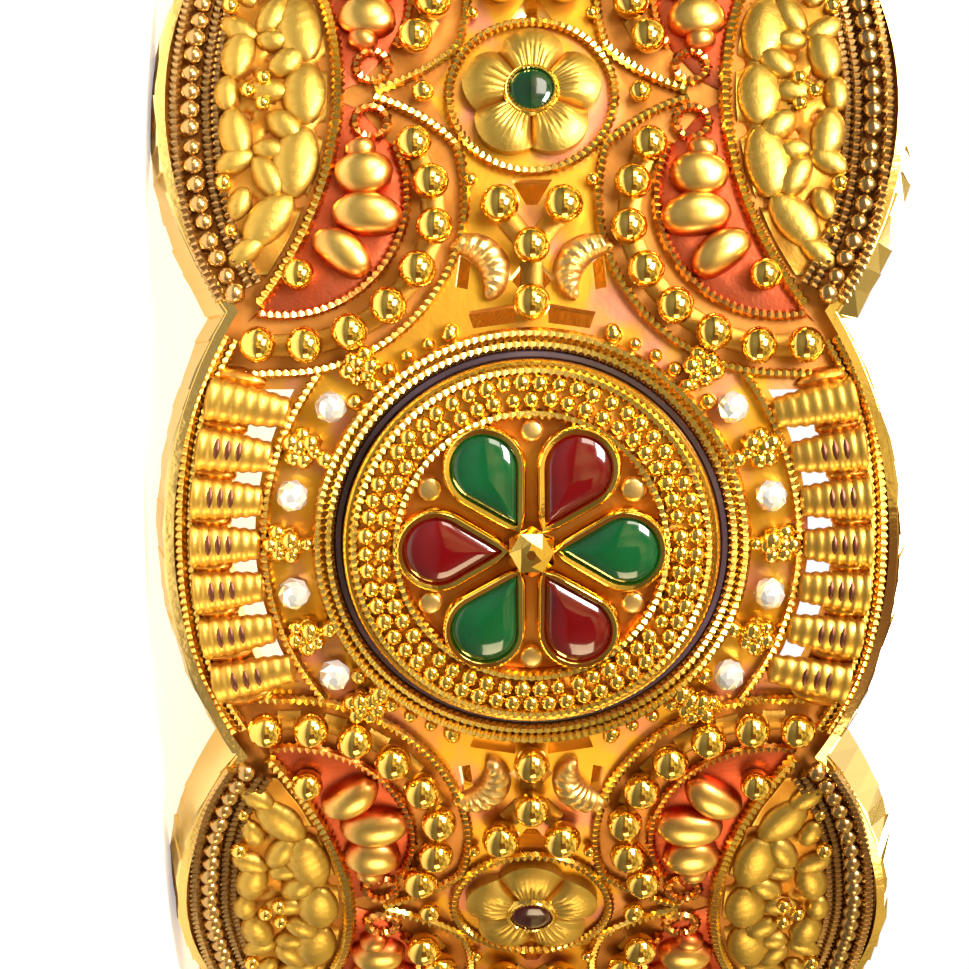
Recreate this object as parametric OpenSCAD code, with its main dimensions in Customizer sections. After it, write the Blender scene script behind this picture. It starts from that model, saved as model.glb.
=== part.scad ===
// A rigid, broad, openwork gold bangle with enamelled medallions and flowers, lying on its side.
// The wrist's axis is Z. Round the band, six medallion lobes and six flower lobes take turns.
// Places on the wall are given as u, the way round the band, and v, the way up from its middle,
// both in millimetres at pattern_r. Depths are distances from the wrist's axis.

/* [Bangle] */
// Diameter of the wrist opening
bore_d = 60.3; // [58:0.1:64]
// Height of the band across its flower lobes
band_h = 28; // [27.6:0.1:29]
// Half height of a medallion lobe
medallion_half = 13.65; // [13.3:0.05:13.9]
// Half height at the notch between two lobes
notch_half = 11.45; // [11.2:0.05:11.7]

/* [Band] */
// Thickness of the pierced sheet
sheet_t = 1.15; // [0.9:0.05:1.4]
// How far the polished rims stand above the sheet
rim_proud = 0.7; // [0.4:0.1:1]
// Width of a rim's top edge
rim_w = 0.3; // [0.3:0.05:0.5]
// How much further out a rim reaches at the bore than at its top edge
rim_flare = 0.5; // [0.3:0.1:0.9]
// Depth of the small flats polished on the tips of the flower lobes, where the bangle lies
flat_depth = 0.1; // [0.05:0.01:0.2]

/* [Medallion] */
// Radius of the medallion's foot
medallion_r = 7.9; // [7.6:0.1:8]
// Radius of the raised ring that carries the granules
ring_r = 6.6; // [6:0.1:7]
// Radius of the floor inside that ring, which carries the pears
floor_r = 4.85; // [4.8:0.05:5]
// Radius of a pear enamel's round end
pear_r = 1.2; // [1:0.02:1.22]
// Distance from the medallion's middle to the pear's round end
pear_out = 3.38; // [3.3:0.02:3.4]
// Distance from the medallion's middle to the pear's tip
pear_tip = 0.9; // [0.85:0.05:1.1]
// Thickness of the bezel round a pear
bezel_w = 0.2; // [0.15:0.01:0.22]

/* [Flower] */
// Reach of the rosette's petals
rosette_r = 2.6; // [2.2:0.1:2.7]
// Radius of the enamel dot in its eye
dot_r = 0.78; // [0.5:0.02:0.9]
// Diameter of a round bead in the chains
bead_d = 1.36; // [1.1:0.02:1.4]
// Beads in one chain
chain_beads = 8; // [4:1:8]

/* [Medallion sides] */
// Diameter of a white ball
ball_d = 1.02; // [0.8:0.02:1.1]
// Barrels in one fan
fan_barrels = 7; // [3:2:7]
// Ribs on one barrel
barrel_ribs = 5; // [3:1:7]

/* [Hidden] */
periods = 6;
pears = 6;
step_a = 360 / periods;
lobe_a = step_a / 2;
mid = band_h / 2;
flower_half = band_h / 2 + flat_depth;
// Level at which the pattern's u is measured, that of the bead centres
pattern_r = 32;
bore_r = bore_d / 2;
sheet_r = bore_r + sheet_t;
rim_r = sheet_r + rim_proud;
// Gap that keeps two pieces apart
gap = 0.05;
seat_r = sheet_r + gap;
// Well past every outer surface
far_r = 40;
$fn = 64;
// The wall's own round surfaces need many steps to stay true under the small pieces
wall_fn = 720;
// Where those surfaces start, in degrees, so that their seam stays clear of the pierced gaps
seam_a = 12;

// Angle round the axis of a distance u along the pattern
function turn_of(u) = u / pattern_r * 180 / PI;
function medallion_at(i) = step_a * (i - 1);
function flower_at(i) = medallion_at(i) + lobe_a;
// Radius of the arc that joins two notches over a lobe of this half height
function lobe_r(half) =
    let (rise = half - notch_half, reach = bore_r * sin(lobe_a / 2))
    (rise * rise + reach * reach) / (2 * rise);

// Puts things on the wall: x runs round the band, y up, and z away from the axis, from the axis itself
module on_wall(a, v = 0) {
    rotate([0, 0, a]) translate([0, 0, mid + v]) rotate([90, 0, 90]) children();
}

// A flat outline pushed out along the wall's normal, from one level to another
module raised(from_r, to_r) {
    translate([0, 0, from_r]) linear_extrude(to_r - from_r) children();
}

// Everything nearer to the axis than this
module inside(r) {
    rotate([0, 0, seam_a]) translate([0, 0, -2]) cylinder(r = r, h = band_h + 4, $fn = wall_fn);
}

module tube(inner_r, outer_r) {
    difference() {
        translate([0, 0, 1]) inside(outer_r);
        inside(inner_r);
    }
}

// Band

// Mirrors what stands above the band's middle to below it, and keeps both
module both_edges() {
    for (s = [0, 1]) translate([0, 0, s * band_h]) mirror([0, 0, s]) children();
}

// Repeats one thing at every medallion and another at every flower
module round_the_band() {
    for (i = [1:periods]) {
        rotate([0, 0, medallion_at(i)]) children(0);
        rotate([0, 0, flower_at(i)]) children(1);
    }
}

// All that lies above a line a little below the band's middle
module upper_part() {
    translate([-far_r, -far_r, mid - 1]) cube([2 * far_r, 2 * far_r, band_h]);
}

// A lobe's round edge is cut by a cone about the wall's normal, so that its rim slopes.
// The inset gives the room inside the rim, which is then a strip of one thickness.
module lobe_cone(half, inset = 0) {
    r = lobe_r(half) - inset;
    slope = rim_flare / (rim_r - bore_r);
    below = 6;
    above = 1.5;
    height = rim_r - bore_r + above;
    on_wall(0, half - lobe_r(half)) translate([0, 0, bore_r - below])
        cylinder(r1 = r + below * slope, r2 = r - height * slope, h = below + height);
}

module outline() {
    intersection() {
        cylinder(r = far_r, h = band_h);
        tube(bore_r, rim_r);
        both_edges() intersection() {
            round_the_band() {
                lobe_cone(medallion_half);
                lobe_cone(flower_half);
            }
            upper_part();
        }
    }
}

module room() {
    difference() {
        both_edges() intersection() {
            round_the_band() {
                lobe_cone(medallion_half, rim_w);
                lobe_cone(flower_half, rim_w);
            }
            upper_part();
        }
        inside(sheet_r);
    }
}

// The arc wire that parts a medallion's balls from its fan
arc_r = 10.6;
arc_shift = 0.95;
// The paisley's middle, measured from the flower's
paisley_u = 4;
paisley_v = 8.9;
chain_r = 5.55;

// A fan's barrels bridge this gap, so that light falls through between them
module fan_window() {
    intersection() {
        difference() {
            translate([0, -arc_shift]) circle(arc_r + 1.35);
            translate([0, -arc_shift]) circle(arc_r + 0.35);
        }
        translate([-5.5, 6]) square([11, 7]);
    }
}

// The small gaps of the hourglass between a rosette and a medallion, from the flower's middle
module hourglass_window() {
    polygon([[3.35, -0.75], [4.3, -0.2], [4.3, 0.2], [3.35, 0.75]]);
    polygon([[6.45, -0.35], [7, -0.8], [7.5, -0.35], [7.5, 0.35], [7, 0.8], [6.45, 0.35]]);
    for (s = [-1, 1]) {
        polygon([[7.9, s * 0.6], [8.6, s * 0.6], [8.8, s * 2.1], [8.2, s * 2.3]]);
        polygon([[5.6, s * 2.1], [7.4, s * 2.3], [7.3, s * 2.75], [5.7, s * 2.55]]);
    }
}

// Two small gaps between the leaves and the border, from the flower's middle
module leaf_window() {
    for (s = [-1, 1])
        polygon([[s * 0.75, 10.95], [s * 1.5, 11], [s * 1.95, 10.6], [s * 1.5, 10.2], [s * 0.85, 10.3]]);
}

module cut_through() {
    raised(bore_r - 3, far_r) children();
}

module windows() {
    for (i = [1:periods], s = [0, 1]) {
        on_wall(medallion_at(i)) mirror([0, s]) cut_through() fan_window();
        on_wall(flower_at(i)) mirror([0, s]) cut_through() leaf_window();
        middle = 6.3;
        rotate([0, 0, flower_at(i)]) mirror([0, s, 0]) rotate([0, 0, turn_of(middle)])
            on_wall(0) cut_through() translate([-middle, 0]) hourglass_window();
    }
}

module band() color("gold") {
    difference() {
        outline();
        room();
        windows();
    }
}

// Medallion

foot_top = sheet_r + 0.45;
floor_top = foot_top + 0.2;
ring_top = foot_top + 0.45;
bezel_top = ring_top + 0.55;
centre_ball_r = 0.9;
// Steps in half of a pear's round end
pear_steps = 9;

// A pear with its tip towards the middle: straight sides run into an arc at the round end
module pear_outline(grow = 0) {
    lean = asin(pear_r / (pear_out - pear_tip));
    r = pear_r + grow;
    tip = pear_out - r / sin(lean);
    turns = [for (k = [-pear_steps:pear_steps]) (90 + lean) * k / pear_steps];
    polygon(concat([[tip, 0]], [for (t = turns) [pear_out + r * cos(t), r * sin(t)]]));
}

// Pear j of a medallion: the first lies straight up the band
module at_pear(j) {
    rotate(90 + (j - 1) * 360 / pears) children();
}

// A post that stands on the axis's side of the wall and ends in a face bent like the wall.
// Its foot is sunk by its order, so that nested posts share no face.
module post(order, top) {
    intersection() {
        raised(bore_r - 2 + 0.1 * order, top + 1) children();
        rotate([90, 0, 0])
            cylinder(r = top, h = band_h * 2, center = true, $fn = wall_fn);
    }
}

module medallion(i) color("gold") rotate([0, 0, medallion_at(i)]) {
    difference() {
        union() {
            on_wall(0) {
                post(0, foot_top) circle(medallion_r);
                post(1, floor_top) circle((ring_r + floor_r) / 2);
                post(2, ring_top) difference() {
                    circle(ring_r);
                    circle(floor_r);
                }
                post(3, bezel_top) for (j = [1:pears]) at_pear(j) pear_outline(bezel_w);
                translate([0, 0, bezel_top + 0.15]) sphere(centre_ball_r);
            }
        }
        on_wall(0) for (j = [1:pears]) raised(floor_top - 0.1, far_r) at_pear(j) pear_outline();
        inside(seat_r);
    }
}

// A low dome of enamel in each bezel
module pear(i, j) color((j % 2 == 1) ? "seagreen" : "firebrick") {
    dome_r = 5;
    dome_top = bezel_top + 0.22;
    on_wall(medallion_at(i)) intersection() {
        raised(floor_top - 0.1 + gap, far_r) at_pear(j) pear_outline(-gap);
        at_pear(j) translate([pear_out - 0.4, 0, dome_top - dome_r]) sphere(dome_r);
    }
}

// Rosette

petals = 5;
petal_top = sheet_r + 1;
eye_top = sheet_r + 0.75;
eye_floor = sheet_r + 0.35;

module petal_outline() {
    petal_r = rosette_r / 2;
    for (k = [0:petals - 1]) rotate(180 + k * 360 / petals)
        translate([rosette_r - petal_r, 0]) circle(petal_r);
}

module rosette(i) color("khaki") {
    cup_r = 5.2;
    difference() {
        on_wall(flower_at(i)) difference() {
            union() {
                difference() {
                    raised(bore_r, petal_top) petal_outline();
                    translate([0, 0, sheet_r + 0.4 + cup_r]) sphere(cup_r);
                }
                raised(bore_r, eye_top) circle(dot_r + 0.2);
            }
            raised(eye_floor, far_r) circle(dot_r);
        }
        inside(seat_r);
    }
}

module dot(i) color((i % 2 == 1) ? "firebrick" : "seagreen") {
    dome_r = 1.6;
    on_wall(flower_at(i)) intersection() {
        raised(eye_floor + gap, far_r) circle(dot_r - gap);
        translate([0, 0, eye_top + 0.12 - dome_r]) sphere(dome_r);
    }
}

// Beads

bead_r = bead_d / 2;
bead_wire_r = 0.2;

// Point of the wall at u, v from the middle of a lobe, at a distance from the axis
function wall_point(u, v, level) =
    [level * cos(turn_of(u)), level * sin(turn_of(u)), mid + v];

module rod(p, q, r) {
    d = q - p;
    translate(p)
        rotate([0, acos(d[2] / norm(d)), atan2(d[1], d[0])]) cylinder(r = r, h = norm(d), $fn = 16);
}

// Beads at a list of u, v points, with a wire between each two that the links name.
// A wire ends inside its beads, short of their middles, so that no two wires cross.
module beads(points, links, r = bead_r) {
    spots = [for (p = points) wall_point(p[0], p[1], seat_r + r)];
    for (p = spots) translate(p) sphere(r, $fn = 32);
    for (k = links) {
        p = spots[k[0]];
        q = spots[k[1]];
        inset = 0.6 * r * (q - p) / norm(q - p);
        rod(p + inset, q - inset, bead_wire_r);
    }
}

// The chain bends round the paisley, a little tighter where it starts beside the rosette
function chain_point(k, side, way) =
    let (turn = -112 + 17.3 * k, r = chain_r - 0.27 * max(0, 2 - k))
    [way * (paisley_u + r * cos(turn)), side * (paisley_v + r * sin(turn))];

module bead_chains() color("goldenrod") {
    chain_links = [for (k = [1:chain_beads - 1]) [k - 1, k]];
    for (i = [1:periods]) rotate([0, 0, flower_at(i)]) {
        for (side = [-1, 1], way = [-1, 1])
            beads([for (k = [0:chain_beads - 1]) chain_point(k, side, way)], chain_links);
        for (way = [-1, 1])
            beads([[way * 5.9, 0], [way * 4.4, -1.15], [way * 4.4, 1.15], [way * 7.95, 0]],
                [[0, 1], [0, 2], [0, 3]]);
        for (side = [-1, 1]) beads([[0, side * 3.95]], [], bead_r * 0.62);
    }
}

// White balls lie on a ring round each medallion, at these angles from straight up the band
ball_ring_r = 8.78;
ball_turns = [-35, -12, 12, 35];

module white_balls() color("white") {
    for (i = [1:periods]) rotate([0, 0, medallion_at(i)])
        for (side = [-1, 1], t = ball_turns) {
            p = wall_point(ball_ring_r * sin(t), side * ball_ring_r * cos(t), seat_r + ball_d / 2);
            translate(p) sphere(d = ball_d, $fn = 32);
        }
}

// Coil fans

barrel_l = 2.5;
barrel_inner_r = 0.52;
barrel_outer_r = 0.8;
barrel_from = 9.85;

// A tapered barrel along x, swollen by one rib after another
module barrel() {
    rib_l = barrel_l / barrel_ribs;
    rib_r = [for (k = [0:barrel_ribs]) barrel_inner_r + (barrel_outer_r - barrel_inner_r) * k / barrel_ribs];
    edge = [for (k = [0:barrel_ribs - 1], e = [[0, 0.8], [0.3, 1], [0.7, 1]])
        [rib_r[k] * e[1], (k + e[0]) * rib_l]];
    rotate([0, 90, 0]) rotate_extrude($fn = 24)
        polygon(concat([[0, 0]], edge, [[rib_r[barrel_ribs] * 0.8, barrel_l], [0, barrel_l]]));
}

// Barrels point at a spot below the medallion's middle, so that they spread towards the rim
module coil_fans() color("goldenrod") {
    half = (fan_barrels - 1) / 2;
    for (i = [1:periods], side = [0, 1]) rotate([0, 0, medallion_at(i)]) {
        ends = [for (k = [-half:half]) fan_point(k, side == 0 ? 1 : -1, barrel_from + 0.2)];
        for (k = [-half:half]) {
            foot = fan_point(k, side == 0 ? 1 : -1, barrel_from);
            head = fan_point(k, side == 0 ? 1 : -1, barrel_from + barrel_l);
            lay(foot, head) barrel();
        }
        for (n = [0:2 * half - 1]) rod(ends[n], ends[n + 1], bead_wire_r);
    }
}

// Where barrel k of a fan passes a height above the band's middle
function fan_point(k, way, height) =
    let (u = 1.62 * k * (1 + 0.05 * (height - barrel_from)), drop = 0.028 * pow(1.62 * k, 2))
    wall_point(u, way * (height - drop), seat_r + barrel_outer_r);

// Turns what lies along x so that it runs from one point to another
module lay(p, q) {
    d = q - p;
    translate(p) rotate([0, acos(d[2] / norm(d)) - 90, atan2(d[1], d[0])]) children();
}

// Paisley petals

petal_rise = 0.8;
petal_dome_r = 1.7;
// Each petal of a paisley: middle u, v from the flower, half length, half width, and its lean
paisley_table = [
    [3.25, 6.1, 0.95, 0.8, 85],
    [5.05, 6.05, 1.05, 0.7, 95],
    [6.4, 7.05, 1.05, 0.66, 130],
];

module oval(half_l, half_w) {
    polygon([for (t = [0:20:340]) [half_l * cos(t), half_w * sin(t)]]);
}

module paisley_petals() color("orangered") {
    for (i = [1:periods], side = [0, 1], way = [0, 1], p = paisley_table)
        rotate([0, 0, flower_at(i)]) translate([0, 0, side * band_h]) mirror([0, 0, side])
            mirror([0, way, 0]) rotate([0, 0, turn_of(p[0])]) difference() {
                on_wall(0) intersection() {
                    raised(bore_r, far_r) translate([0, p[1]]) rotate(p[4]) oval(p[2], p[3]);
                    translate([0, p[1], seat_r + petal_rise - petal_dome_r]) sphere(petal_dome_r);
                }
                inside(seat_r);
            }
}

// Leaf fields

// Each leaf of half a field: middle u, v from the flower, length, width, and the way it points
leaf_table = [
    [0, 8.35, 3.0, 1.5, 0],
    [2.9, 8.7, 3.0, 1.5, 15],
    [5.1, 9.75, 2.4, 1.3, 35],
    [2.3, 10.7, 2.6, 1.5, -10],
];

// A leaf is where two circles cross
module leaf_outline(l, w) {
    r = (l * l + w * w) / (4 * w);
    intersection() {
        translate([0, r - w / 2]) circle(r);
        translate([0, w / 2 - r]) circle(r);
    }
}

module leaf_fields() color("khaki") {
    for (i = [1:periods], s = [0, 1]) intersection() {
        on_wall(flower_at(i)) mirror([0, s]) raised(bore_r, far_r) {
            for (p = leaf_table, m = [0, 1]) mirror([m, 0])
                translate([p[0], p[1]]) rotate(p[4]) leaf_outline(p[2], p[3]);
            translate([0, 9.6]) circle(1.3);
            translate([-2.4, 9.2]) square([4.8, 0.9]);
        }
        tube(seat_r, seat_r + 0.55);
    }
}

band();
for (i = [1:periods]) {
    medallion(i);
    rosette(i);
    dot(i);
    for (j = [1:pears]) pear(i, j);
}
bead_chains();
white_balls();
coil_fans();
paisley_petals();
leaf_fields();
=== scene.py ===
# %% [markdown]
# # A meenakari bangle, dressed round its CAD solids
# The bangle is a broad band of yellow gold, pierced and covered with small soldered work: medallions with
# pear-shaped enamels, flowers, chains of beads, ribbed barrels and many twisted wires. The CAD model holds
# the band and the main forms. This lesson makes the fine work over them, as surfaces worked out with numpy.

# %% Load the CAD frame
import math

import bpy
import numpy as np
from mathutils import Matrix, Vector


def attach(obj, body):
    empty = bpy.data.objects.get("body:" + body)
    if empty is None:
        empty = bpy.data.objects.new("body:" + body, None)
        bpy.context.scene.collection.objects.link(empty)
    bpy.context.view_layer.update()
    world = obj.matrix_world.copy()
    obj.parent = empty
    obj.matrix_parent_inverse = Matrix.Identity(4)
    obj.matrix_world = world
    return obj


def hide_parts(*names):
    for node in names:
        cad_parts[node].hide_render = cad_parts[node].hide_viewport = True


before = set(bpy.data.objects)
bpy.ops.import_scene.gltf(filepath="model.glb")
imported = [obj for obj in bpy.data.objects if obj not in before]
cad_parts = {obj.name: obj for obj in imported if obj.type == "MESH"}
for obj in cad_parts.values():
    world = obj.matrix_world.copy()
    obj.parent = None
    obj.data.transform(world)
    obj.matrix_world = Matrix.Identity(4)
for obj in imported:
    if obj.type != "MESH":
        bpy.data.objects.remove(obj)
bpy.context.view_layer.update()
print("CAD nodes:", len(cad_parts))

# %% [markdown]
# ## Working flat
# A goldsmith bends the finished sheet into a band. The same trick helps here: every ornament is worked out
# on a flat pattern, where u runs round the band, v runs across it and the third number is the distance
# from the wrist's axis, all in millimetres. One function bends the pattern into the band at the end.

# %% The bend
MM = 0.001
TAU = 2 * math.pi
PATTERN_R = 32.0    # distance from the axis at which u is a true length
MIDDLE = 14.0       # height of the band's middle line
SHEET = 31.3        # outer face of the pierced sheet
LOBES = 6           # medallions, and flowers between them
HALF_STEP = PATTERN_R * math.pi / LOBES


def bend(points):
    """Angle round the axis = u / 32; the third number is the radius; height = 14 + v. Gives metres."""
    u, v, r = np.moveaxis(np.asarray(points, float), -1, 0)
    turn = u / PATTERN_R
    return np.stack([r * np.cos(turn), r * np.sin(turn), MIDDLE + v], -1) * MM


print(f"a medallion and a flower are {HALF_STEP:.2f} mm apart")

# %% [markdown]
# ## Skins
# A shape is a pair of arrays: its points, and its faces as four point numbers each. A triangle repeats its
# third number. Nearly every piece here is a stack of closed rings, so one function joins the rings with
# faces and closes both ends onto a pole.

# %% Skins, copies and mirrors
def skin(rings, closed=False):
    """Rings x around x 3 points. Each face joins two neighbours on a ring with the two on the next ring.
    An open stack gets a pole in the middle of each end ring."""
    count, around = rings.shape[:2]
    r, a = np.meshgrid(np.arange(count if closed else count - 1), np.arange(around), indexing="ij")
    b, s = (a + 1) % around, (r + 1) % count
    faces = np.stack([r * around + a, r * around + b, s * around + b, s * around + a], -1).reshape(-1, 4)
    points = rings.reshape(-1, 3)
    if not closed:
        k, last = np.arange(around), (count - 1) * around
        n = (k + 1) % around
        poles = np.stack([rings[0].mean(0), rings[-1].mean(0)])
        first_cap = np.stack([k * 0 + len(points), n, k, k], -1)
        last_cap = np.stack([last + k, last + n, k * 0 + len(points) + 1, k * 0 + len(points) + 1], -1)
        points = np.concatenate([points, poles])
        faces = np.concatenate([faces, first_cap, last_cap])
    return outward((points, faces))


def flipped(faces):
    """The same faces seen from the other side."""
    return faces[:, [1, 0, 3, 2]]


def outward(shape):
    """A closed shape's signed volume, the sum of its corners' triple products, is positive when its faces
    look outwards; otherwise they are flipped."""
    points, faces = shape
    a, b, c, d = (points[faces[:, k]] - points[0] for k in range(4))
    volume = (np.cross(a, b) * c).sum() + (np.cross(a, c) * d).sum()
    return points, faces if volume > 0 else flipped(faces)


def joined(*shapes):
    """Several shapes as one: each one's face numbers move past the points before it."""
    starts = np.cumsum([0] + [len(p) for p, f in shapes[:-1]])
    faces = [f + start for (p, f), start in zip(shapes, starts)]
    return np.concatenate([p for p, f in shapes]), np.concatenate(faces)


def copies(shape, spots, turns=0.0, sizes=1.0):
    """A copy at each spot (u, v, r), turned in the pattern's plane by degrees and scaled: all at once."""
    points, faces = shape
    spots = np.atleast_2d(np.asarray(spots, float))
    n = len(spots)
    turns, sizes = np.radians(np.broadcast_to(turns, n))[:, None], np.broadcast_to(sizes, n)[:, None]
    x, y, z = (points[None, :, k] * sizes for k in range(3))
    c, s = np.cos(turns), np.sin(turns)
    out = np.stack([x * c - y * s, x * s + y * c, z], -1) + spots[:, None]
    return out.reshape(-1, 3), (faces[None] + len(points) * np.arange(n)[:, None, None]).reshape(-1, 4)


def mirrored(shape, axis):
    """The shape with its image across u = 0 (axis 0) or v = 0 (axis 1)."""
    points, faces = shape
    image = points.copy()
    image[:, axis] *= -1
    return joined(shape, (image, flipped(faces)))


def four_ways(shape):
    """One quarter of a panel as all four: the shape with its images across u = 0 and across v = 0."""
    return mirrored(mirrored(shape, 0), 1)


def round_band(shape, flower):
    """Six copies round the band, on the medallions or on the flowers between them."""
    return copies(shape, [(HALF_STEP * (2 * k + (1 if flower else 0)), 0, 0) for k in range(LOBES)])


print(f"a shape can be laid on {LOBES} medallions or on {LOBES} flowers")

# %% [markdown]
# ## Paths
# A wire is drawn straight and then bent along a line: a part of a circle, or a free curve through a few
# places. Curve objects could do it, but arrays let one function respace, shift or raise any line, and the
# steps along it then have equal lengths, so that a twist or a row of beads keeps its pitch.

# %% Paths
def arc(u, v, r, start, end, steps=40):
    """Points on a circle about (u, v), from one angle to another in degrees."""
    t = np.radians(np.linspace(start, end, steps))
    return np.stack([u + r * np.cos(t), v + r * np.sin(t)], -1)


def circle(r, steps=96):
    """A closed ring of points about the pattern's origin, at equal angles."""
    return arc(0, 0, r, 0, 360 * (1 - 1 / steps), steps)


def even(path, step, closed=False):
    """The same line with points an equal length apart, found along its running length. A closed line gets
    an even number of them."""
    line = np.concatenate([path, path[:1]]) if closed else path
    run = np.concatenate([[0], np.cumsum(np.linalg.norm(np.diff(line, axis=0), axis=1))])
    count = max(2, int(round(run[-1] / step)))
    if closed:
        count += count % 2
    at = np.linspace(0, run[-1], count + (0 if closed else 1), endpoint=not closed)
    return np.stack([np.interp(at, run, line[:, k]) for k in range(line.shape[1])], -1)


def smooth(knots, steps=60):
    """A curve through the knots: between two of them, the Catmull-Rom cubic of the four nearest."""
    k = np.asarray(knots, float)
    k = np.concatenate([[2 * k[0] - k[1]], k, [2 * k[-1] - k[-2]]])
    t = np.linspace(0, len(k) - 3 - 1e-9, steps)
    i, f = t.astype(int), (t % 1)[:, None]
    a, b, c, d = k[i], k[i + 1], k[i + 2], k[i + 3]
    return 0.5 * (2 * b + (c - a) * f + (2 * a - 5 * b + 4 * c - d) * f**2 + (3 * b - a - 3 * c + d) * f**3)


def at_level(path, level):
    """The path with a third number. A path that has one already keeps it."""
    path = np.asarray(path, float)
    if level is None:
        return path
    return np.concatenate([path, np.broadcast_to(np.asarray(level, float), len(path))[:, None]], -1)


def offset(line, by):
    """The line moved sideways, away from the band's middle, by the same amount everywhere."""
    way = np.gradient(line, axis=0)
    side = np.stack([-way[:, 1], way[:, 0]], -1)
    return line + by * side / np.linalg.norm(side, axis=1, keepdims=True)


print(f"a ring of 5 mm walked in steps of 0.74 mm has {len(even(circle(5), 0.74, True))} points")

# %% [markdown]
# ## Sections carried along paths
# Wires, bezels, leaves and barrels are all a section carried along a path, as when metal is drawn or
# rolled. The section may change on the way: a leaf's gets wide and narrow again, and a pair of twisted
# wires is a tube whose bulge changes sides from ring to ring. Real strands wound round each other would
# need ten times as many faces and look the same from a hand's distance.

# %% Sections carried along paths
def along(path, section, closed=False):
    """Point = path + side * a + up * b for each (a, b) of the section. Side is the path's direction turned
    a quarter in the pattern's plane, and up is away from the axis. The section may differ at each step."""
    ahead, back = np.roll(path, -1, 0), np.roll(path, 1, 0)
    if not closed:
        ahead[-1], back[0] = path[-1], path[0]
    way = ahead - back
    side = np.stack([-way[:, 1], way[:, 0], 0 * way[:, 0]], -1)
    side /= np.linalg.norm(side, axis=1, keepdims=True)
    section = np.broadcast_to(section, (len(path),) + np.shape(section)[-2:])
    rings = path[:, None] + side[:, None] * section[..., :1] + np.array([0, 0, 1]) * section[..., 1:]
    return skin(rings, closed)


def round_section(radius, around=8):
    """Points at equal angles on a circle, one circle for each radius given."""
    phi = TAU * np.arange(around) / around
    return np.asarray(radius, float)[..., None, None] * np.stack([np.cos(phi), np.sin(phi)], -1)


def twisted(path, level, closed=False, radius=0.17, bump=0.28):
    """Two fine wires twisted together: radius = r (1 + 0.4 cos(pi j - phi + 0.9)) at ring j and angle phi,
    so the bulge changes sides from one ring to the next, two rings to a bump."""
    path = even(path, bump / 2, closed)
    j, phi = np.arange(len(path))[:, None], TAU * np.arange(6) / 6
    r = radius * (1 + 0.4 * np.cos(math.pi * j - phi + 0.9))
    return along(at_level(path, level), np.stack([r * np.cos(phi), r * np.sin(phi)], -1), closed)


def pod(path, half_width, height, level, ridges=0, depth=0.0, slant=0.0, around=9, foot=0.12, round_top=1.0):
    """A low body along a path. Over each step stands an arch: side = w cos(phi), up = h sin(phi)^round_top,
    which is half an ellipse at 1 and flat-topped below 1. Ridges dent it by depth * (1 - cos) of the share of
    the way along, plus a slant across it."""
    n = len(path)
    w, h = (np.broadcast_to(np.asarray(x, float), n)[:, None] for x in (half_width, height))
    phi = np.linspace(0, math.pi, around)
    share = np.linspace(0, 1, n)[:, None]
    dent = 1 - depth * (0.5 - 0.5 * np.cos(TAU * (ridges * share + slant * np.cos(phi))))
    a = np.concatenate([w, w * np.cos(phi), -w], 1)
    arch = h * np.maximum(np.sin(phi), 0) ** round_top * dent
    b = np.concatenate([0 * w - foot, arch, 0 * w - foot], 1)
    return along(at_level(path, level), np.stack([a, b], -1))


def swell(n, power=0.5):
    """Half widths for a body that is pointed or round at both ends: (4 s (1 - s)) to a power, where s runs
    along the body and stops just short of its ends."""
    s = np.linspace(0.015, 0.985, n)
    return (4 * s * (1 - s)) ** power


print("widest share of a pod:", round(float(swell(9).max()), 2))

# %% [markdown]
# ## Turned bodies and domes
# Dishes, studs and balls are turned on a lathe or pressed in a die, so a profile turned about an axis is
# their natural form. A dome over a free outline, such as a drop of enamel in its cell, is the same stack of
# rings, shrunk towards a middle point instead of turned.

# %% Turned bodies and domes
def turned(profile, around=32):
    """A profile of (distance, height) turned about the third axis, and closed."""
    t = TAU * np.arange(around) / around
    rho, h = np.asarray(profile, float).T
    ring = np.stack([np.cos(t), np.sin(t)], -1)
    levels = np.broadcast_to(h[:, None, None], (len(rho), around, 1))
    return skin(np.concatenate([rho[:, None, None] * ring, levels], -1))


def ball(r, around=12, rings=7, down=0.72):
    """Ring radius = r sin(p) and height = r cos(p), for polar angles p that stop where the ball sinks in."""
    p = np.linspace(0, down * math.pi, rings + 1)[:0:-1]
    return turned(np.concatenate([np.stack([r * np.sin(p), r * np.cos(p)], -1), [[0.02 * r, r]]]), around)


def dome(outline, middle, steps):
    """Rings that shrink from an outline to its middle: point = middle + share (outline - middle), each at
    its own height. Steps lists (share, height) from the foot upwards."""
    outline, middle = np.asarray(outline, float), np.asarray(middle, float)
    rings = [at_level(middle + share * (outline - middle), height) for share, height in steps]
    return skin(np.stack(rings))


print("faces on a small ball:", len(ball(0.33, 8, 5)[1]))

# %% [markdown]
# ## Colours of gold
# Yellow gold has no colour of its own under white light but the tint of its reflections. Where two gold
# faces look at each other the tint doubles and low places lie in shade, so low places look orange-brown and
# the crowns nearly white. That light and shade is painted into the colour: it could be painted on a
# texture, but the shader can measure it instead, since it knows how high each spot lies. Each node group
# below gives one such effect. The helpers that write nodes come first.

# %% Writing nodes
def srgb(r, g, b):
    """Eight-bit screen colour to the linear colour that shaders take: ((x + 0.055) / 1.055)^2.4 for x from
    0 to 1, and x / 12.92 for the darkest."""
    return tuple(x / 255 / 12.92 if x <= 10 else ((x / 255 + 0.055) / 1.055) ** 2.4 for x in (r, g, b)) + (1,)


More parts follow.
